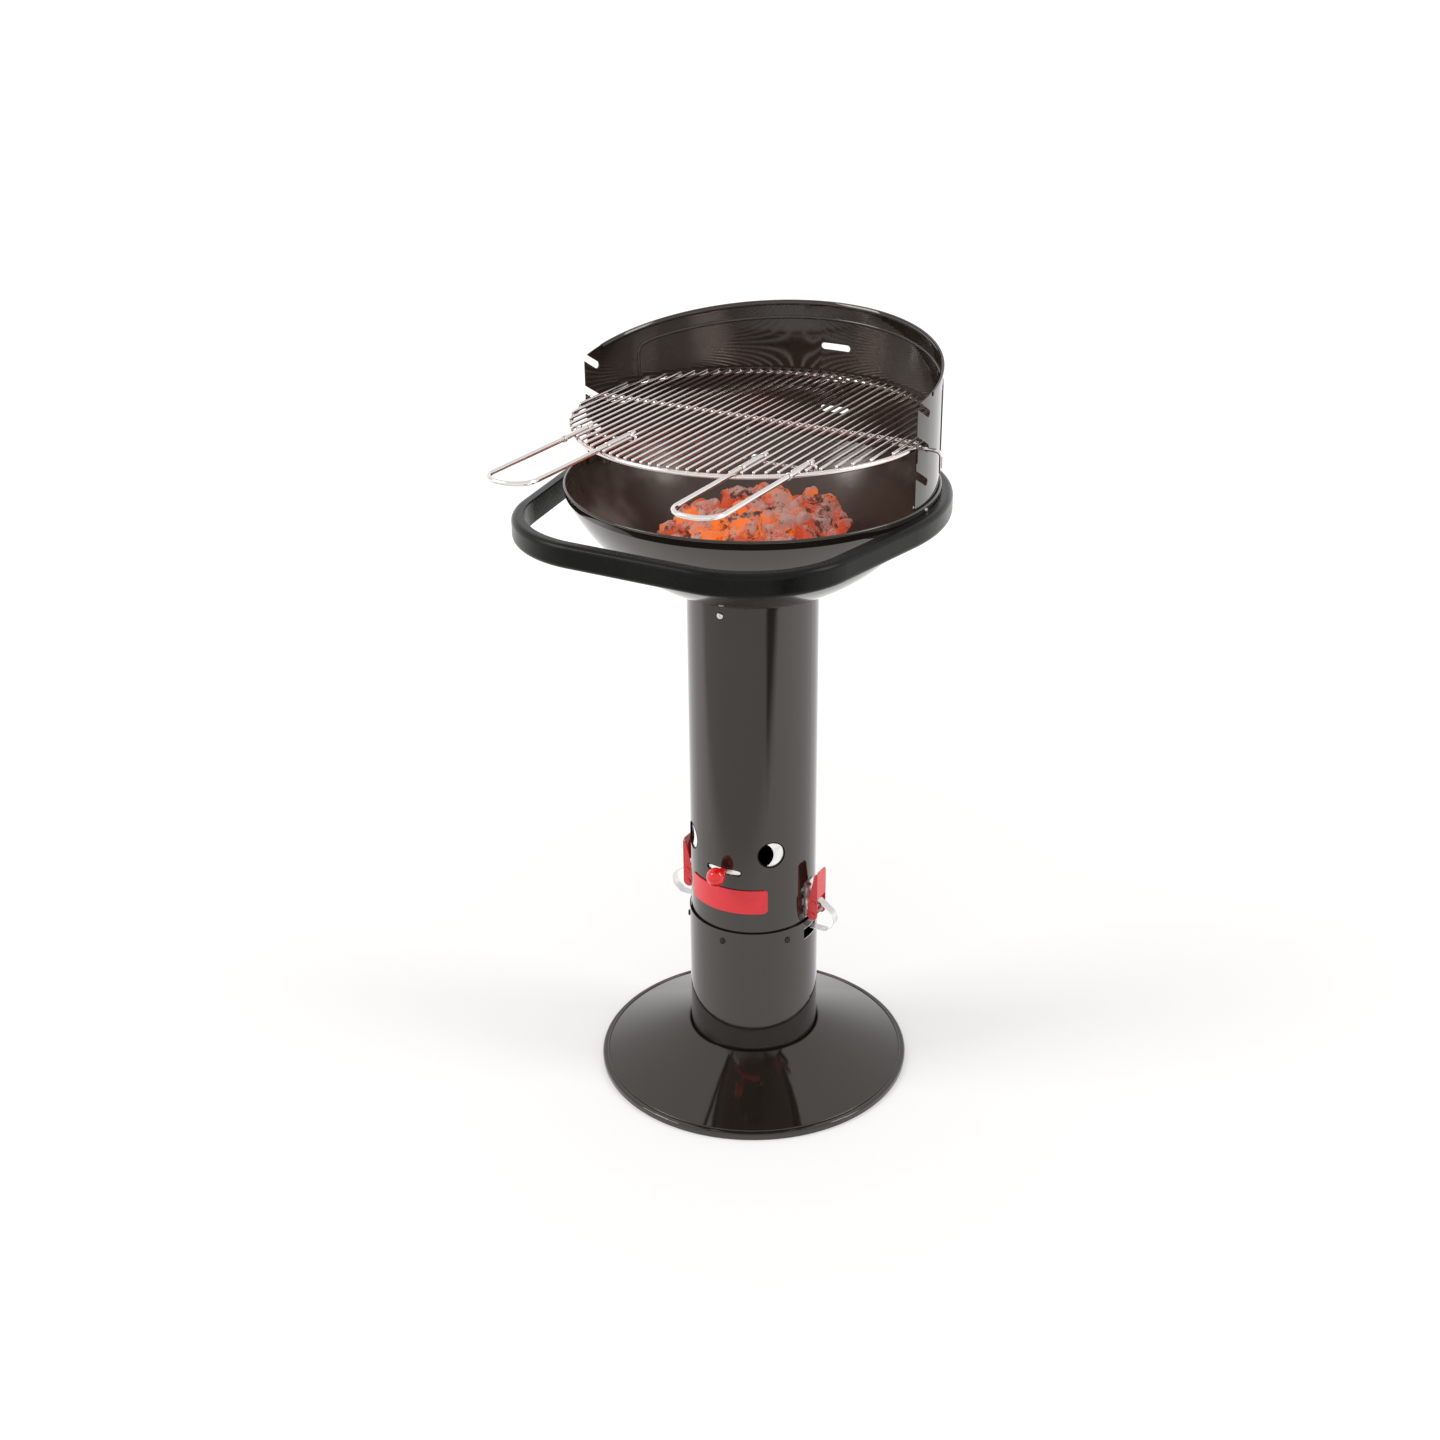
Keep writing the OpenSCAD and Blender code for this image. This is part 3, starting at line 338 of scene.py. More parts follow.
# %% Group: rolled lines
def make_rolled_lines():
    given = {"Along X": 1.0, "Along Y": 1.0, "Along Z": 1.0, "Clean": 0.2, "Worn": 0.34}
    group, given, out = new_group("rolled_lines", given, "Height", "Roughness")
    scale = feed(group, add_node(group, "ShaderNodeCombineXYZ"),
                 X=given["Along X"], Y=given["Along Y"], Z=given["Along Z"]).outputs[0]
    drawn = vector_math(group, "MULTIPLY", object_place(group), scale)
    lines = noise_value(group, drawn, 1.0, roughness=0.6)
    worn = ramp_value(group, lines, 0.3, 0.7, to_low=given["Clean"], to_high=given["Worn"])
    feed(group, out, Height=lines, Roughness=worn)
    return group


rolled_lines = make_rolled_lines()
print("group:", rolled_lines.name)

# %% [markdown]
# ## Enamel
#
# The foot, tank, column, bowl and windscreen are steel sheet with glass enamel fired on. It is
# almost black, hard and very glossy: all its tone comes from what it mirrors. A coat layer would
# do it too, but one smooth dielectric with a high index is what enamel is. Inside, where the fire
# reaches, it is browner and a little duller, and fine ash lies on it in soft pale patches.

# %% Enamel
ENAMEL = (0.0155, 0.0115, 0.0088)
ENAMEL_FIRED = (0.088, 0.058, 0.047)
ENAMEL_GLOSS = {"IOR": 1.6, "Specular_Tint": (1.0, 0.95, 0.9, 1)}
ASH_DUST = (0.26, 0.225, 0.205)
FIRED_DULLNESS = 0.16


def make_enamel(name, wave, specks, strength, near, far):
    """Enamel that browns between the distances near and far from the fire."""
    material, tree, shader = new_material(name, ENAMEL, 0.08, **ENAMEL_GLOSS)
    fired = use_group(tree, fire_bloom, Near=near, Far=far, Breakup=0.05)["Mask"]
    marks = use_group(tree, wiped_marks, Scale=7.0, Clean=0.045, Wiped=0.085)["Roughness"]
    clouds = noise_value(tree, object_place(tree), 8.0, roughness=0.5)
    burnt = mix_colour(tree, ramp_value(tree, clouds, 0.5, 0.72), ENAMEL_FIRED, ASH_DUST)
    feed(tree, shader, Base_Color=mix_colour(tree, fired, ENAMEL, burnt),
         Roughness=plus(tree, marks, times(tree, fired, FIRED_DULLNESS)))
    skin = use_group(tree, flowed_skin, Wave_Scale=wave, Specks=specks)["Height"]
    bump(tree, shader, skin, 0.0002, strength)
    return material


enamel = make_enamel("enamel", wave=34.0, specks=0.06, strength=0.2, near=0.2, far=0.27)
screen = make_enamel("screen_enamel", wave=20.0, specks=0.0, strength=0.12, near=0.16, far=0.32)
print("enamel:", enamel.name, screen.name)

# %% [markdown]
# ## Red lacquer and the red knob
#
# The levers and the front plate are steel with a red lacquer, and the knob is a turned ball of
# glossy plastic. One flat red would make them look cut from paper. One recipe serves all three
# instead: a thin clear coat, wiped marks that darken the colour a little, and a fine flow.

# %% Red finishes
def make_red(name, colour, clean, wiped, coat):
    gloss = {"IOR": 1.5, "Coat_Weight": coat, "Coat_Roughness": 0.06}
    material, tree, shader = new_material(name, colour, clean, **gloss)
    marks = use_group(tree, wiped_marks, Scale=30.0, Clean=clean, Wiped=wiped)
    darker = tuple(channel * 0.93 for channel in colour)
    feed(tree, shader, Roughness=marks["Roughness"],
         Base_Color=mix_colour(tree, marks["Mask"], colour, darker))
    skin = use_group(tree, flowed_skin, Wave_Scale=160.0, Specks=0.25)["Height"]
    bump(tree, shader, skin, 0.0002, 0.3)
    return material


REDS = {
    "red_knob": ((0.84, 0.005, 0.005), 0.09, 0.15, 0.2),
    "red_plate": ((0.8, 0.02, 0.034), 0.28, 0.38, 0.05),
    "red_lacquer": ((0.76, 0.016, 0.024), 0.22, 0.34, 0.1),
}
for name, recipe in REDS.items():
    make_red(name, *recipe)
print("reds:", list(REDS))

# %% [markdown]
# ## The plastic of the rail
#
# The rail is moulded with a fine satin grain that spreads the light of the lamp into one soft
# streak. Grain in the mesh would take millions of faces, and a high roughness alone would turn the
# rail grey. So the grain is a fine bump on a plastic that is nearly black and gives back little.

# %% Rail plastic
RAIL_BLACK = (0.003, 0.003, 0.0026)
RAIL_WIPED = (0.007, 0.0068, 0.0062)


def make_rail_plastic():
    gloss = {"IOR": 1.46, "Specular_IOR_Level": 0.16}
    material, tree, shader = new_material("rail_plastic", RAIL_BLACK, 0.36, **gloss)
    marks = use_group(tree, wiped_marks, Scale=12.0, Clean=0.26, Wiped=0.35)
    feed(tree, shader, Roughness=marks["Roughness"],
         Base_Color=mix_colour(tree, marks["Mask"], RAIL_BLACK, RAIL_WIPED))
    grain = use_group(tree, flowed_skin, Wave_Scale=1500.0, Specks=0.5)["Height"]
    bump(tree, shader, grain, 0.0002, 0.2)
    return material


print("rail:", make_rail_plastic().name)

# %% [markdown]
# ## Bare metals
#
# The damper is rolled sheet, the hooks are polished spring steel, and bolts, brackets and pins are
# zinc plated, which is greyer. The screws under the column are blackened, and the grate below the
# coals is scaled by the fire. The bright ones differ little in colour, so roughness and the
# direction of the lines set them apart.

# %% Metals
def make_metal(name, colour, along, clean, worn, depth):
    """A metal with drawn lines. Stretching space by the three numbers sets the lines' direction."""
    material, tree, shader = new_material(name, colour, clean, metallic=1.0)
    lines = use_group(tree, rolled_lines, Along_X=along[0], Along_Y=along[1], Along_Z=along[2],
                      Clean=clean, Worn=worn)
    marks = use_group(tree, wiped_marks, Scale=40.0, Clean=0.0, Wiped=1.0)["Mask"]
    dull = tuple(channel * 0.8 for channel in colour)
    feed(tree, shader, Roughness=lines["Roughness"],
         Base_Color=mix_colour(tree, marks, colour, dull))
    bump(tree, shader, lines["Height"], depth, 0.4)
    return material


METALS = {
    "zinc_steel": ((0.66, 0.65, 0.63), (700.0, 700.0, 300.0), 0.22, 0.36, 0.0001),
    "damper_steel": ((0.82, 0.81, 0.79), (30.0, 30.0, 2400.0), 0.3, 0.42, 0.0001),
    "spring_steel": ((0.66, 0.65, 0.64), (60.0, 2600.0, 60.0), 0.08, 0.2, 0.00005),
    "black_steel": ((0.04, 0.036, 0.033), (700.0, 700.0, 300.0), 0.14, 0.28, 0.0001),
    "fire_wire": ((0.2, 0.18, 0.17), (400.0, 20.0, 400.0), 0.4, 0.6, 0.0002),
}
for name, recipe in METALS.items():
    make_metal(name, *recipe)
print("metals:", list(METALS))

# %% [markdown]
# ## Chrome wire
#
# The cooking grate is drawn wire with chrome plate, the brightest metal here. Heat has tinted it,
# so no single grey would do, and it takes the heat tint in place of the drawn lines. The plate
# hides those and has a faint wave of its own.

# %% Chrome wire
CHROME = (0.7, 0.675, 0.66, 1)
COPPER_TINT = (0.52, 0.25, 0.18, 1)


def make_chrome_wire():
    material, tree, shader = new_material("chrome_wire", CHROME[:3], 0.14, metallic=1.0)
    tint = use_group(tree, heat_tint, Bright=CHROME, Tint=COPPER_TINT, Underside=0.9, Overall=0.18)
    marks = use_group(tree, wiped_marks, Scale=50.0, Clean=0.07, Wiped=0.16)
    feed(tree, shader, Base_Color=tint["Colour"], Roughness=marks["Roughness"])
    skin = use_group(tree, flowed_skin, Wave_Scale=500.0)["Height"]
    bump(tree, shader, skin, 0.0001, 0.25)
    return material


print("chrome:", make_chrome_wire().name)

# %% [markdown]
# ## Burning charcoal
#
# A coal in a hot fire glows orange where it is bare, is pale grey with a breath of pink where ash
# covers it, and stays black where it has not caught yet. A lamp in the heap would light the bowl
# but show nothing of this. So the coals glow by themselves, and masks say where: ash lies in a
# fine speckle, thickest on top, and low in the heap the glow is turned down as painted shade for
# the gaps between the lumps.

# %% Masks of a coal
FIRE_HEART = (-0.01, -0.05, 0.8)


def coal_masks(tree):
    """Where a coal is ashen, charred, hot or in painted shade, and the speckle of ash and bump."""
    place = object_place(tree)
    up = axis_value(tree, surface_normal(tree), "Z")
    patches = noise_value(tree, place, 26.0, detail=4.0, roughness=0.6)
    speckle = noise_value(tree, place, 520.0, roughness=0.75)
    cover = plus(tree, patches, times(tree, speckle, 0.55))
    ash = ramp_value(tree, plus(tree, cover, times(tree, up, 0.07)), 0.73, 0.9)
    burnt = noise_value(tree, place, 46.0, detail=5.0, roughness=0.75)
    charred = ramp_value(tree, burnt, 0.52, 0.62)
    away = vector_math(tree, "DISTANCE", place, FIRE_HEART)
    core = ramp_value(tree, away, 0.11, 0.02, to_high=0.16)
    hot = ramp_value(tree, plus(tree, noise_value(tree, place, 19.0), core), 0.5, 0.66)
    height = axis_value(tree, place, "Z")
    # Painted shade: the glow fades low in the heap, which darkens the gaps between the lumps.
    gap_shade = ramp_value(tree, height, 0.786, 0.75, to_high=0.7)
    return ash, charred, hot, gap_shade, speckle


print("the fire is hottest at", FIRE_HEART)

# %% [markdown]
# Each mask now mixes one more state of the coal over the last, once for its skin and once for its
# glow; the last one only dims the glow, as painted shade low in the heap. The strength of the
# emission stays one number, and the colours say how bright each state is.

# %% Charcoal
COAL_SKIN = {"bare": (0.2, 0.06, 0.035), "ashen": (0.62, 0.45, 0.42),
             "charred": (0.09, 0.06, 0.055)}
# The darkest glow is painted shade for the gaps low in the heap.
COAL_GLOW = {"bare": (0.52, 0.058, 0.02), "hot": (1.0, 0.19, 0.022), "ashen": (0.2, 0.068, 0.048),
             "charred": (0.05, 0.012, 0.007), "gap_shade": (0.03, 0.008, 0.005)}


def make_charcoal():
    material, tree, shader = new_material("charcoal", COAL_SKIN["bare"], 0.9)
    ash, charred, hot, gap_shade, speckle = coal_masks(tree)
    skin = mix_colour(tree, ash, COAL_SKIN["bare"], COAL_SKIN["ashen"])
    skin = mix_colour(tree, charred, skin, COAL_SKIN["charred"])
    glow = COAL_GLOW["bare"]
    for state, mask in {"hot": hot, "ashen": ash, "charred": charred, "gap_shade": gap_shade}.items():
        glow = mix_colour(tree, mask, glow, COAL_GLOW[state])
    feed(tree, shader, Base_Color=skin, Emission_Color=glow, Emission_Strength=0.85)
    bump(tree, shader, speckle, 0.003, 0.9)
    return material


print("charcoal:", make_charcoal().name)

# %% [markdown]
# ## Dressing the solids
#
# A solid whose shape is right keeps its mesh and only takes a material. The materials could be set
# by hand, but the record names the slot of every solid, so one loop dresses them all. The pins of
# the levers were painted with the levers, so they wear the lacquer over their zinc.

# %% Finish of each solid
PAINTED_PINS = ("lever_pin_left", "lever_pin_right", "hook_pin_left", "hook_pin_right")
for subpart in frame["record"]["subparts"]:
    node = subpart["node"]
    finish = "red_lacquer" if node in PAINTED_PINS else subpart["material_slot"]
    solid = frame["nodes"][node].data
    solid.materials.clear()
    solid.materials.append(FINISHES[finish])

# %% [markdown]
# A sharp edge catches no light, and a real pressed or moulded edge does. A shader can fake a round
# edge, but an export loses it. A narrow bevel on the parts that a hand touches is real, and gives
# each of them its fine bright line.

# %% Broken edges
EDGE_WIDTHS = {"lever_left": 0.0003, "lever_right": 0.0003, "front_plate": 0.0003,
               "latch_bracket_left": 0.0002, "latch_bracket_right": 0.0002}
for node, width in EDGE_WIDTHS.items():
    edge = frame["nodes"][node].modifiers.new("broken_edge", "BEVEL")
    edge.width = width
    edge.segments = 2
    edge.limit_method = "ANGLE"
    edge.angle_limit = math.radians(40)
print("edges broken:", len(EDGE_WIDTHS))

# %% [markdown]
# ## Making a piece
#
# Everything that is new goes through one door: it gets the finish of its slot, or one given in its
# place, and it is told which body it rides on. Wire could be meshed by hand too, but a curve with a
# round bevel needs only the points of its middle.

# %% Helpers for pieces
def ride_piece(name, data, body):
    piece = link_object(name, data)
    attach(piece, body)
    return piece


def add_piece(name, mesh_maker, body, slot, finish=None):
    """Turns a bmesh into a piece. A finish may stand in for that of its slot."""
    data = bpy.data.meshes.new(name)
    mesh_maker.to_mesh(data)
    mesh_maker.free()
    data.materials.append(FINISHES[finish or slot])
    data.shade_smooth()
    return ride_piece(name, data, body)


def add_wire(name, paths, radius, body, slot, closed=False, finish=None):
    """Round wire along each path of points, as one piece."""
    data = bpy.data.curves.new(name, "CURVE")
    data.dimensions = "3D"
    data.bevel_depth = radius
    data.bevel_resolution = 3
    data.use_fill_caps = True
    for path in paths:
        line = data.splines.new("POLY")
        line.points.add(len(path) - 1)
        line.use_cyclic_u = closed
        for point, place in zip(line.points, path):
            point.co = (*place, 1)
    data.materials.append(FINISHES[finish or slot])
    return ride_piece(name, data, body)


print("piece helpers ready")

# %% [markdown]
# ## The pressed panel of the windscreen
#
# A wide flat sheet drums and warps, so the windscreen has a panel pressed into it. Only the bent
# line of its border shows: a fine bead that runs parallel to the slanting top edge and down both
# sides. A bump would vanish at a low angle, so the line is a wire that lies half sunk in the face.

# %% Points on the windscreen
SCREEN_R = 0.2312
SCREEN_SHEET = 0.0012
SCREEN_SIDE_Z = 0.983
SCREEN_RISE = 0.039
INNER_FACE = SCREEN_R - SCREEN_SHEET


def screen_point(radius, angle, z):
    """A point on the windscreen. The angle is from the back and grows towards +X."""
    return Vector((radius * math.sin(angle), radius * math.cos(angle), z))


def screen_z(angle, drop, radius=SCREEN_R):
    """A height that lies a drop below the slanting top edge."""
    return SCREEN_SIDE_Z + SCREEN_RISE * math.cos(angle) * radius / SCREEN_R - drop


print("screen top:", screen_z(0, 0), "at the back,", SCREEN_SIDE_Z, "at the sides")

# %% [markdown]
# The line goes up one side, round a corner and along the top to the middle. The corner ends a
# hair off the top's slanting line, and that step fades out over the next points. The other half
# is the mirror image of the first.

# %% Panel line
PANEL_HALF = math.radians(68.6)
PANEL_BORDER = 0.0225
PANEL_LOW = 0.866
CORNER = 0.011
SIDE_STEPS, CORNER_STEPS, TOP_STEPS = 8, 8, 64
LINE_SINK = 0.0004


def panel_path(radius):
    side_top = screen_z(PANEL_HALF, PANEL_BORDER) - CORNER
    corner_angle = CORNER / SCREEN_R
    inner = PANEL_HALF - corner_angle
    step_off = side_top + CORNER - screen_z(inner, PANEL_BORDER)
    line = [(PANEL_HALF, PANEL_LOW + (side_top - PANEL_LOW) * i / SIDE_STEPS)
            for i in range(SIDE_STEPS)]
    for i in range(CORNER_STEPS + 1):
        turn = math.pi / 2 * i / CORNER_STEPS
        angle = PANEL_HALF - corner_angle * (1 - math.cos(turn))
        line.append((angle, side_top + CORNER * math.sin(turn)))
    for i in range(1, TOP_STEPS + 1):
        angle = inner * (1 - i / TOP_STEPS)
        line.append((angle, screen_z(angle, PANEL_BORDER) + step_off * math.exp(-i)))
    half = [screen_point(radius, angle, z) for angle, z in line]
    return half + [Vector((-p.x, p.y, p.z)) for p in reversed(half[:-1])]


inside, outside = panel_path(INNER_FACE + LINE_SINK), panel_path(SCREEN_R - LINE_SINK)
add_wire("panel_line_inside", [inside], radius=0.0022, body="stand", slot="screen_enamel")
add_wire("panel_line_outside", [outside], radius=0.0012, body="stand", slot="screen_enamel")
print("panel line:", len(inside), "points")

# %% [markdown]
# ## The fold of the windscreen
#
# The top edge of the screen is folded inwards, which makes it stiff. A fold in sheet is round, and
# the solid's is flat. A bevel would only soften its corners, so the fold gets a face of its own
# that swells by a millimetre. Its back and ends have their own points, so that the smooth shading
# stops at the edge.

# %% Folded edge
FOLD_HALF = math.radians(85)
FOLD_H = 0.0058
FOLD_SEAT = INNER_FACE - 0.0013
FOLD_SWELL = 0.0011
FOLD_STEPS, FOLD_ROWS = 96, 8


def fold_row(mesh_maker, angle):
    """The points of the fold at one angle, from its upper edge to its lower one."""
    row = []
    for i in range(FOLD_ROWS + 1):
        share = i / FOLD_ROWS
        radius = FOLD_SEAT - FOLD_SWELL * math.sin(math.pi * share)
        z = screen_z(angle, FOLD_H * share, radius)
        row.append(mesh_maker.verts.new(screen_point(radius, angle, z)))
    return row


def make_folded_edge():
    mesh_maker = bmesh.new()
    angles = [FOLD_HALF * (2 * step / FOLD_STEPS - 1) for step in range(FOLD_STEPS + 1)]
    rows = [fold_row(mesh_maker, angle) for angle in angles]
    backs = [[mesh_maker.verts.new(row[i].co) for i in (0, -1)] for row in rows]
    for row, follow in zip(rows, rows[1:]):
        for i in range(FOLD_ROWS):
            mesh_maker.faces.new((row[i], row[i + 1], follow[i + 1], follow[i]))
    for back, follow in zip(backs, backs[1:]):
        mesh_maker.faces.new((back[0], follow[0], follow[1], back[1]))
    for end in (rows[0][::-1], rows[-1]):
        mesh_maker.faces.new([mesh_maker.verts.new(v.co) for v in end])
    return add_piece("folded_edge", mesh_maker, body="stand", slot="screen_enamel")


print("folded edge:", len(make_folded_edge().data.polygons), "faces")

# %% [markdown]
# ## Screws that can be turned
#
# The solids of the screws have plain heads, because a driver's recess is too small to matter to a
# load. In a close view it matters a lot. A boolean cut leaves ragged faces on a dome this small.
# So each new head is a cap of rings of points, and those under the arms of the cross sink in.

# %% A domed head
HEAD_R = 0.0044
HEAD_H = 0.0024
HEAD_RINGS, HEAD_SPOKES = 15, 48
DOME_POWER = 3.2
CROSS_ARM, CROSS_REACH, CROSS_HUB, CROSS_DEPTH = 0.15, 0.55, 0.26, 0.55


def head_lift(x, y):
    """How high a head stands at a place that is given in shares of its radius."""
    share = min(1.0, math.hypot(x, y))
    lift = math.sqrt(1 - share ** DOME_POWER)
    arm = min(abs(x), abs(y)) < CROSS_ARM and max(abs(x), abs(y)) < CROSS_REACH
    if arm or share < CROSS_HUB:
        lift -= CROSS_DEPTH * (1 - share)
    return HEAD_H * lift


def add_head(mesh_maker, seat, outward, turn):
    """A head that sits on a point and looks outwards, with its cross turned by an angle."""
    side = outward.orthogonal().normalized()
    up = outward.cross(side)
    arm_x = side * math.cos(turn) + up * math.sin(turn)
    arm_y = up * math.cos(turn) - side * math.sin(turn)

    def head_point(x, y):
        place = seat + (arm_x * x + arm_y * y) * HEAD_R
        return mesh_maker.verts.new(place + outward * head_lift(x, y))

    spokes = [2 * math.pi * i / HEAD_SPOKES for i in range(HEAD_SPOKES)]
    shares = [math.sin(math.pi / 2 * i / HEAD_RINGS) for i in range(1, HEAD_RINGS + 1)]
    middle = head_point(0, 0)
    rings = [[head_point(share * math.cos(a), share * math.sin(a)) for a in spokes]
             for share in shares]
    for i in range(HEAD_SPOKES):
        mesh_maker.faces.new((middle, rings[0][i - 1], rings[0][i]))
        for low, high in zip(rings, rings[1:]):
            mesh_maker.faces.new((low[i - 1], high[i - 1], high[i], low[i]))
    mesh_maker.faces.new([mesh_maker.verts.new(v.co) for v in reversed(rings[-1])])


print("head:", HEAD_RINGS, "rings of", HEAD_SPOKES, "points")

# %% [markdown]
# Six screws hold up the column and three more fix the bowl in it. Each cross is turned a little
# further than the last, as no fitter lines them up. The new screws stand in for the plain solids.

# %% Screws
SHANK_R = 0.0024
SHANK_LENGTH = 0.0065


def polar(radius, angle, z):
    """A point round the column. The angle is from the front and grows towards +X."""
    return Vector((radius * math.sin(angle), -radius * math.cos(angle), z))


def add_shank(mesh_maker, seat, outward):
    turn = outward.to_track_quat("Z", "Y").to_matrix().to_4x4()
    matrix = Matrix.Translation(seat - outward * SHANK_LENGTH / 2) @ turn
    bmesh.ops.create_cone(mesh_maker, cap_ends=True, segments=24, radius1=SHANK_R,
                          radius2=SHANK_R, depth=SHANK_LENGTH, matrix=matrix)


def add_screws(name, count, seat_radius, z, replaced, finish):
    mesh_maker = bmesh.new()
    for number in range(count):
        angle = math.radians(number * 360 / count)
        outward = polar(1, angle, 0)
        seat = polar(seat_radius, angle, z)
        add_head(mesh_maker, seat, outward, turn=0.3 + number * 1.1)
        add_shank(mesh_maker, seat, outward)
    screws = add_piece(name, mesh_maker, body="stand", slot="zinc_steel", finish=finish)
    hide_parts(replaced)
    return screws


add_screws("stop_screw_heads", 6, 0.088, 0.2255, "stop_screws", "black_steel")
screws = add_screws("column_screw_heads", 3, 0.0851, 0.696, "column_screws", "zinc_steel")
print("screws:", len(screws.data.polygons), "faces on three of them")

# %% [markdown]
# ## Threads
#
# The four bolts of the windscreen end in the bowl, where their threads can be seen. A true thread
# is a cut of sixty degrees, too fine for this view. A hair of wire that winds round the shank
# gives the same row of bright lines.

# %% Threads
BOLT_ANGLES = [math.radians(a) for a in (-91.5, 91.5, -150, 150)]
BOLT_Z = 0.845
BOLT_START_R = 0.217
THREAD_LENGTH = 0.0125
THREAD_PITCH = 0.0008


def helix(start, direction, radius, length, turns, turn_steps):
    """Points that wind round a line. The direction has a length of one."""
    side = direction.orthogonal().normalized()
    up = direction.cross(side)
    count = int(turns * turn_steps)
    path = []
    for step in range(count + 1):
        angle = 2 * math.pi * step / turn_steps
        outward = side * math.cos(angle) + up * math.sin(angle)
        path.append(start + direction * length * step / count + outward * radius)
    return path


threads = [helix(polar(BOLT_START_R, angle, BOLT_Z), polar(1, angle, 0), SHANK_R, THREAD_LENGTH,
                 THREAD_LENGTH / THREAD_PITCH, 16) for angle in BOLT_ANGLES]
add_wire("screen_bolt_threads", threads, radius=0.00028, body="stand", slot="zinc_steel")
print("threads:", len(threads), "of", len(threads[0]), "points")

# %% [markdown]
# ## Wire work
#
# A grate is welded: each rod has a small nugget where it meets the rim and the cross wire, and its
# ends are rounded. Joining the wires' meshes would spoil them. Flattened balls at the joints, all
# in one mesh, give the welds and the rod ends.

# %% Welds and rod ends
ROD_Z = 0.92945
ROD_R = 0.002
ROD_PITCH = 0.012
RIM_RING_R = 0.223
RIM_WIRE = 0.003
GRATE_Z = 0.9245
CROSSBAR_Y = 0.009
ROD_END = (ROD_R, ROD_R * 0.85, ROD_R)
RIM_WELD = (0.0026, 0.0026, 0.0011)
CROSS_WELD = (0.0024, 0.0026, 0.001)


def add_ball(mesh_maker, place, radii):
    matrix = Matrix.Translation(place) @ Matrix.Diagonal((*radii, 1))
    bmesh.ops.create_uvsphere(mesh_maker, u_segments=10, v_segments=6, radius=1.0, matrix=matrix)


def make_welds():
    mesh_maker = bmesh.new()
    count = int((RIM_RING_R - RIM_WIRE) / ROD_PITCH)
    for number in range(-count, count + 1):
        x = number * ROD_PITCH
        reach = math.sqrt(RIM_RING_R ** 2 - x ** 2)
        for end in (-reach, reach):
            add_ball(mesh_maker, (x, end, ROD_Z), ROD_END)
            add_ball(mesh_maker, (x, end * 0.998, GRATE_Z + RIM_WIRE * 0.8), RIM_WELD)
        add_ball(mesh_maker, (x, CROSSBAR_Y, GRATE_Z + RIM_WIRE * 0.85), CROSS_WELD)
    return add_piece("weld_nuggets", mesh_maker, body="grate", slot="chrome_wire")


print("welds:", len(make_welds().data.polygons), "faces")

# %% [markdown]
# ## Tied wires
#
# The handles and side hooks are tied on with thin wire, wound close round each leg, and its hooked
# ends show beside the legs. A torus per turn would be quick, but a real tie is one wire, so each
# one is wound with the function that wound the threads.

# %% Windings and hooked ends
X_AXIS, Y_AXIS = Vector((1, 0, 0)), Vector((0, 1, 0))
TIE_WIRE = 0.0007
TIE_PITCH = 0.0017
TIE_BEND = 0.0042


def wind_round(centre, direction, wire, turns):
    """A tie wire wound round a thicker one, with a point as its middle."""
    length = turns * TIE_PITCH
    start = centre - direction * length / 2
    return helix(start, direction, wire + TIE_WIRE, length, turns, 14)


def hooked_end(x, y, z, sign):
    """The end of a tie wire, bent up and back over the leg beside it."""
    turns = [math.radians(degrees) for degrees in range(0, 215, 20)]
    return [Vector((x + sign * TIE_BEND * math.sin(turn), y, z + TIE_BEND * (1 - math.cos(turn))))
            for turn in turns]


print("a tie of three turns is", round(3 * TIE_PITCH * 1000, 1), "mm long")

# %% [markdown]
# Every handle has two legs, and each leg is tied in two places: to the wire under the rods, where
# the hooked ends stick out, and to the rim. The root of each side hook is wound to the end of the
# cross wire.

# %% Ties
HANDLE_X = 0.12
HANDLE_HALF = 0.03
HANDLE_Z = 0.93045
HANDLE_WIRE = 0.003
HANDLE_RIM_Y = -0.19
TIE_Y = -0.144
TIE_Z = 0.92345
TIE_END = 0.037
LEG_TIE_Y = TIE_Y + 0.006
SIDE_HOOK = (0.199, 0.91905)
SIDE_HOOK_WIRE = 0.0025


def make_ties():
    hooks, turns = [], []
    for side in (-1, 1):
        for sign in (-1, 1):
            hooks.append(hooked_end(side * HANDLE_X + sign * TIE_END, TIE_Y, TIE_Z, sign))
            leg_x = side * HANDLE_X + sign * HANDLE_HALF
            for y, count in ((LEG_TIE_Y, 3.0), (HANDLE_RIM_Y, 2.5)):
                turns.append(wind_round(Vector((leg_x, y, HANDLE_Z)), Y_AXIS, HANDLE_WIRE, count))
        root = Vector((side * SIDE_HOOK[0], CROSSBAR_Y, SIDE_HOOK[1]))
        turns.append(wind_round(root, X_AXIS, SIDE_HOOK_WIRE, 4.0))
    add_wire("tie_ends", hooks, radius=0.002, body="grate", slot="chrome_wire")
    add_wire("tie_windings", turns, radius=TIE_WIRE, body="grate", slot="chrome_wire")
    return len(hooks), len(turns)


print("hooked ends and windings:", make_ties())

# %% [markdown]
# ## Painted shade round the holes
#
# Round each air hole and the slot of the knob, the cut edge of the sheet and the gap behind
# it lie in shade, which draws a dark outline. Here that outline is painted shade. A ring could
# be painted on, but this one stands proud, so it is a matte black wire that follows the hole
# over the curve of the column.

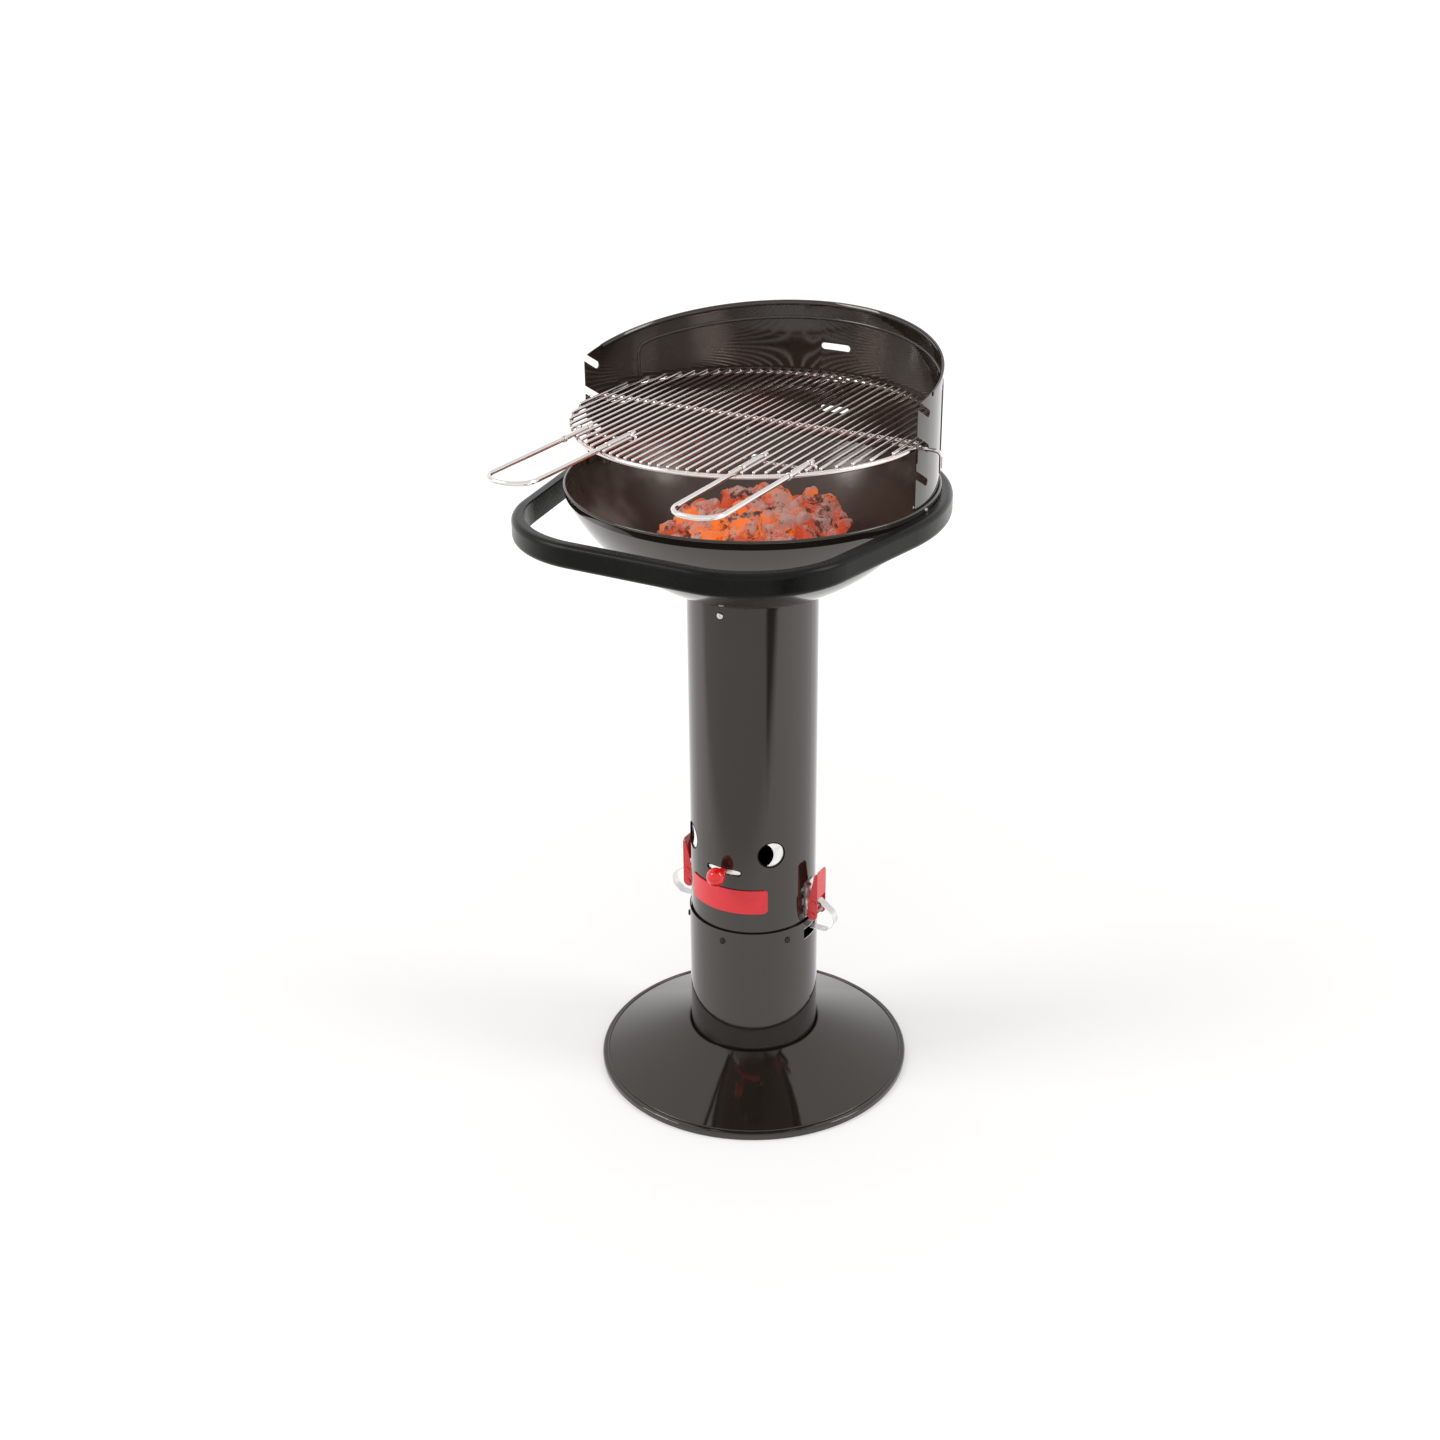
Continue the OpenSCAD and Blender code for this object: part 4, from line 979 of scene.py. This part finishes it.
# %% Painted shade round the holes
COLUMN_R = 0.085
SHADE_RING_SEAT = 0.0845
HOLE_ANGLES = [math.radians(a) for a in (45, 135, 225, 315)]
HOLE_Z = 0.359
HOLE_R, HOLE_INSET = 0.019, 0.0006
SLOT_Z = 0.332
SLOT_HALF_W = 0.0256
SLOT_HALF_H, SLOT_INSET = 0.00425, 0.0002


def on_column(middle, across, z):
    """A point on the column, reached by going across from the middle of a hole."""
    return polar(SHADE_RING_SEAT, middle + math.asin(across / COLUMN_R), z)


def hole_path(middle):
    radius = HOLE_R - HOLE_INSET
    turns = [2 * math.pi * i / 48 for i in range(48)]
    return [on_column(middle, radius * math.cos(turn), HOLE_Z + radius * math.sin(turn))
            for turn in turns]


def slot_path():
    """The outline of a slot with round ends."""
    half_h = SLOT_HALF_H - SLOT_INSET
    straight = SLOT_HALF_W - half_h
    points = []
    for sign in (1, -1):
        for i in range(13):
            turn = sign * (math.pi / 2 - math.pi * i / 12)
            across = sign * (straight + half_h * abs(math.cos(turn)))
            points.append(on_column(0.0, across, SLOT_Z + half_h * math.sin(turn)))
    return points


# A matte black that is painted shade: the dark outline of each hole and of the slot.
new_material("painted_shade_black", (0.003, 0.003, 0.003), 0.6, Specular_IOR_Level=0.1)
shade_ring = {"body": "stand", "slot": "enamel", "closed": True, "finish": "painted_shade_black"}
add_wire("hole_shade_rings", [hole_path(angle) for angle in HOLE_ANGLES], radius=0.0009, **shade_ring)
add_wire("slot_shade_ring", [slot_path()], radius=0.0008, **shade_ring)
print("shade_rings:", len(HOLE_ANGLES) + 1)

# %% [markdown]
# ## Beads of the foot
#
# The foot is spun over a form, and the roller leaves a fine bead at the step of its rim and another
# where the hem turns under. They are too fine for the solid and too round for a bump, so each
# bead is a ring of wire, half sunk in the enamel.

# %% Beads of the foot
def ring_path(radius, z):
    return [polar(radius, 2 * math.pi * i / 128, z) for i in range(128)]


bead = {"body": "stand", "slot": "enamel", "closed": True}
add_wire("foot_step_bead", [ring_path(0.207, 0.0096)], radius=0.0013, **bead)
add_wire("foot_hem_bead", [ring_path(0.2136, 0.0014)], radius=0.0014, **bead)
print("beads ready")

# %% [markdown]
# ## Worn edges of the catch slots
#
# The hooks rub on the lower and upper edges of their slots in the tank, and the enamel chips away
# to bare steel there. A mask in the enamel would have to know where the slots are. A hair of
# bright wire along each edge is simpler, and it stays sharp in a close view.

# %% Slot edges
TANK_R, EDGE_SINK = 0.0879, 0.0002
CATCH_HALF = 0.016
CATCH_TOP = 0.230
CATCH_H = 0.016


def slot_edge(side, z):
    radius = TANK_R - EDGE_SINK
    sideways = [CATCH_HALF * (step / 8 - 1) for step in range(17)]
    return [Vector((side * math.sqrt(radius ** 2 - y ** 2), y, z)) for y in sideways]


edges = [slot_edge(side, z) for side in (-1, 1) for z in (CATCH_TOP, CATCH_TOP - CATCH_H)]
add_wire("slot_edges", edges, radius=0.0004, body="stand", slot="zinc_steel")
print("slot edges:", len(edges))

# %% [markdown]
# ## The fire
#
# The solid heap only says where the coals lie, so this step starts from its box. Coals that are
# poured in slide to one side, and a heap as even as a cake looks wrong. So the surface falls
# towards the edge, and more where the lean points away.

# %% Shape of the heap
HEAP_RADIUS = 0.132
HEAP_LEAN = Vector((0.88, 0.474, 0))
HEAP_TOP, HEAP_FALL, HEAP_SLUMP = 0.95, 0.3, 0.2
heap_low, heap_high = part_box("charcoal")


def heap_surface(place):
    """Height of the heap's surface over a place on the floor."""
    share = min(1.0, place.length / HEAP_RADIUS)
    lean = max(0.0, 0.3 - place.dot(HEAP_LEAN) / HEAP_RADIUS)
    height = HEAP_TOP - HEAP_FALL * share ** 2.6 - HEAP_SLUMP * lean
    return heap_low.z + (heap_high.z - heap_low.z) * height


print("heap:", round(heap_low.z, 3), "to", round(heap_high.z, 3), "m")

# %% [markdown]
# Real lumps are broken wood: blocky, with rounded corners, each at its own tilt. One lump scattered
# many times would show, so each starts as a fine ball that random planes flatten and noise
# roughens. Its own seed keeps it the same in every run.

# %% One lump
LUMP_PLANES = 8
PLANE_BITE = 0.85


def random_vector(chooser):
    return Vector([chooser.uniform(-1, 1) for _ in range(3)])


def add_lump(mesh_maker, centre, size, seed):
    chooser = random.Random(seed)
    made = bmesh.ops.create_icosphere(mesh_maker, subdivisions=3, radius=1.0)["verts"]
    planes = [(random_vector(chooser).normalized(), chooser.uniform(0.45, 0.75))
              for _ in range(LUMP_PLANES)]
    stretch = Vector([chooser.uniform(0.75, 1.25) for _ in range(3)])
    turn = Matrix.Rotation(chooser.uniform(0, 6.28), 3, random_vector(chooser))
    offset = random_vector(chooser) * 50
    for vertex in made:
        place = vertex.co.copy()
        for normal, reach in planes:
            over = place.dot(normal) - reach
            if over > 0:
                place -= normal * over * PLANE_BITE
        place *= 1 + noise.fractal(place * 2.6 + offset, 0.9, 2.0, 5) * 0.15
        place += vertex.co * noise.noise(place * 9 + offset) * 0.05
        vertex.co = centre + turn @ Vector(a * b for a, b in zip(place, stretch)) * size


print("a lump is cut by", LUMP_PLANES, "planes")

# %% [markdown]
# Lumps thrown at random leave holes. Placed by the golden angle, as seeds are in a sunflower, they
# cover the heap evenly, and small random turns and depths hide the pattern. The last loop keeps
# every point inside the solid heap, which the piece stands in for.

# %% Coals
LUMP_COUNT = 150
LUMP_SIZES = (0.0105, 0.019)
GOLDEN_ANGLE = 2.39996


def make_coals():
    chooser = random.Random(7)
    mesh_maker = bmesh.new()
    for index in range(LUMP_COUNT):
        share = (index + 0.5) / LUMP_COUNT
        size = chooser.uniform(*LUMP_SIZES)
        radius = math.sqrt(share) * (HEAP_RADIUS - size * 1.05)
        angle = index * GOLDEN_ANGLE + chooser.uniform(-0.2, 0.2)
        height = heap_surface(polar(radius, angle, 0)) - size * chooser.uniform(0.1, 1.6)
        height = max(heap_low.z + size * 0.8, min(height, heap_high.z - size * 1.15))
        add_lump(mesh_maker, polar(radius, angle, height), size, seed=index)
    for vertex in mesh_maker.verts:
        vertex.co.z = min(max(vertex.co.z, heap_low.z), heap_high.z)
        share = math.hypot(vertex.co.x, vertex.co.y) / HEAP_RADIUS
        if share > 1:
            vertex.co.x /= share
            vertex.co.y /= share
    return add_piece("coals", mesh_maker, body="fuel", slot="charcoal")


coals = make_coals()
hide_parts("charcoal")
print("coals:", LUMP_COUNT, "lumps,", len(coals.data.polygons), "faces")

# %% [markdown]
# ## Floor
#
# A product photograph stands on a white sweep. More light would make a floor white, and wash out
# the object. So the floor is a plain pale plane that takes the shadow of the foot, and only camera
# and mirror rays see its extra white. It fades near the foot, to keep the shadow.

# %% Floor
FLOOR_HALF = 30.0
MIRRORED_WHITE = 0.26


def add_stage(name, material, near, far, z):
    """A flat rectangle from its near left corner to its far right one."""
    data = bpy.data.meshes.new(name)
    corners = [(x, y, z) for x, y in (near, (far[0], near[1]), far, (near[0], far[1]))]
    data.from_pydata(corners, [], [(0, 1, 2, 3)])
    data.materials.append(material)
    stage = link_object(name, data)
    return stage


def make_floor():
    material, tree, shader = new_material("white_floor", (0.82, 0.82, 0.82), 0.9)
    rays = add_node(tree, "ShaderNodeLightPath").outputs
    away = vector_math(tree, "LENGTH", object_place(tree))
    white = ramp_value(tree, away, 0.3, 3.0, to_low=0.2, to_high=0.5)
    seen = times(tree, rays["Is Camera Ray"], white)
    mirrored = times(tree, rays["Is Glossy Ray"], plus(tree, white, MIRRORED_WHITE))
    feed(tree, shader, Emission_Color=(1, 1, 1, 1), Emission_Strength=plus(tree, seen, mirrored))
    return add_stage("floor", material, (-FLOOR_HALF, -FLOOR_HALF), (FLOOR_HALF, FLOOR_HALF), 0)


print("floor:", list(make_floor().dimensions), "m")

# %% [markdown]
# ## Grey film
#
# Glossy black things look flat in an all white room, so a studio puts dark cards before them. The
# hard ends of a card would show in the foot. Here a smoked film lies on the floor instead, and
# only mirror rays see it. It darkens by direction, and its darkest streak gives the column a dark
# line beside its highlight.

# %% Profile of the film
FILM_STOPS = ((-180, 0.0), (-74, 0.0), (-56, 0.4), (20, 0.32), (48, 0.32), (55, 0.9), (70, 0.86),
              (80, 0.6), (98, 0.3), (124, 0.0))


def profile_value(tree, angle, stops):
    """Looks an angle up in a list of (degrees, height) stops, with soft steps between them."""
    made = add_node(tree, "ShaderNodeValToRGB")
    made.color_ramp.interpolation = "EASE"
    points = made.color_ramp.elements
    while len(points) < len(stops):
        points.new(0.5)
    for point, (degrees, height) in zip(points, stops):
        point.position = degrees / 360 + 0.5
        point.color = (height, height, height, 1)
    share = plus(tree, math_node(tree, "DIVIDE", angle, 2 * math.pi), 0.5)
    return feed(tree, made, Fac=share).outputs["Color"]


print("darkest direction:", max(FILM_STOPS, key=lambda stop: stop[1])[0], "degrees")


# %% Grey film
def make_film():
    material, tree, shader = new_material("grey_film", (0, 0, 0), 1.0, Specular_IOR_Level=0.0)
    place = object_place(tree)
    before = times(tree, axis_value(tree, place, "Y"), -1.0)
    angle = math_node(tree, "ARCTAN2", axis_value(tree, place, "X"), before)
    begins = ramp_value(tree, before, 0.46, 0.8)
    feed(tree, shader, Alpha=times(tree, profile_value(tree, angle, FILM_STOPS), begins))
    film = add_stage("grey_film", material, (-6, -8), (6, -0.3), 0.003)
    film.visible_camera = film.visible_diffuse = film.visible_shadow = False
    return film


print("film:", make_film().name)

# %% [markdown]
# ## The room
#
# An even glow from all round keeps the shadows soft, as the walls of a white studio do. Modelled
# walls would get in the way of other views, so the world shader plays them. It lights at a plain
# level, while camera and mirror rays see pure white. Mirror rays see it a little brighter low
# down, where a white sweep catches the lamps.

# %% World
ROOM_LIGHT = (1.0, 0.985, 0.965, 1)
ROOM_STRENGTH = 0.7


def make_world():
    world = bpy.data.worlds.new("studio")
    world.use_nodes = True
    tree = world.node_tree
    tree.nodes.clear()
    rays = add_node(tree, "ShaderNodeLightPath").outputs
    seen = math_node(tree, "MAXIMUM", rays["Is Camera Ray"], rays["Is Glossy Ray"])
    lit = feed(tree, add_node(tree, "ShaderNodeBackground"), Color=ROOM_LIGHT,
               Strength=ROOM_STRENGTH)
    look = add_node(tree, "ShaderNodeTexCoord").outputs["Generated"]
    low_sky = ramp_value(tree, axis_value(tree, look, "Z"), 0.0, 0.5, to_low=0.42, to_high=0.0)
    low_sky = times(tree, low_sky, rays["Is Glossy Ray"])
    white = feed(tree, add_node(tree, "ShaderNodeBackground"), Color=(1, 1, 1, 1),
                 Strength=plus(tree, low_sky, 1.0))
    mixed = feed(tree, add_node(tree, "ShaderNodeMixShader"), i0=seen, i1=lit.outputs[0],
                 i2=white.outputs[0])
    feed(tree, add_node(tree, "ShaderNodeOutputWorld"), Surface=mixed.outputs[0])
    return world


bpy.context.scene.world = make_world()
bpy.context.scene.view_settings.view_transform = "Standard"
print("world:", bpy.context.scene.world.name)

# %% [markdown]
# ## Lamps
#
# One large warm lamp at the upper left models the round forms, and a smaller one from the right
# opens the shadows. A sun or a point lamp would give hard shadows and tiny highlights. A glowing
# rectangle mirrors in the enamel as the long soft streak of a studio lamp.

# %% Lamps
def add_lamp(name, place, target, size, power, colour=(1, 1, 1)):
    data = bpy.data.lights.new(name, "AREA")
    data.shape = "RECTANGLE"
    data.size, data.size_y = size
    data.energy = power
    data.color = colour
    lamp = link_object(name, data)
    lamp.location = place
    lamp.rotation_euler = (Vector(target) - Vector(place)).to_track_quat("-Z", "Y").to_euler()
    return lamp


key = add_lamp("key", (-1.9, -1.6, 2.5), (0, 0, 0.7), (1.2, 1.2), 36, (1.0, 0.97, 0.94))
fill = add_lamp("fill", (2.2, 0.6, 2.2), (0, 0, 0.6), (0.8, 1.6), 22)
print("lamps:", key.data.energy, "and", fill.data.energy, "watts")
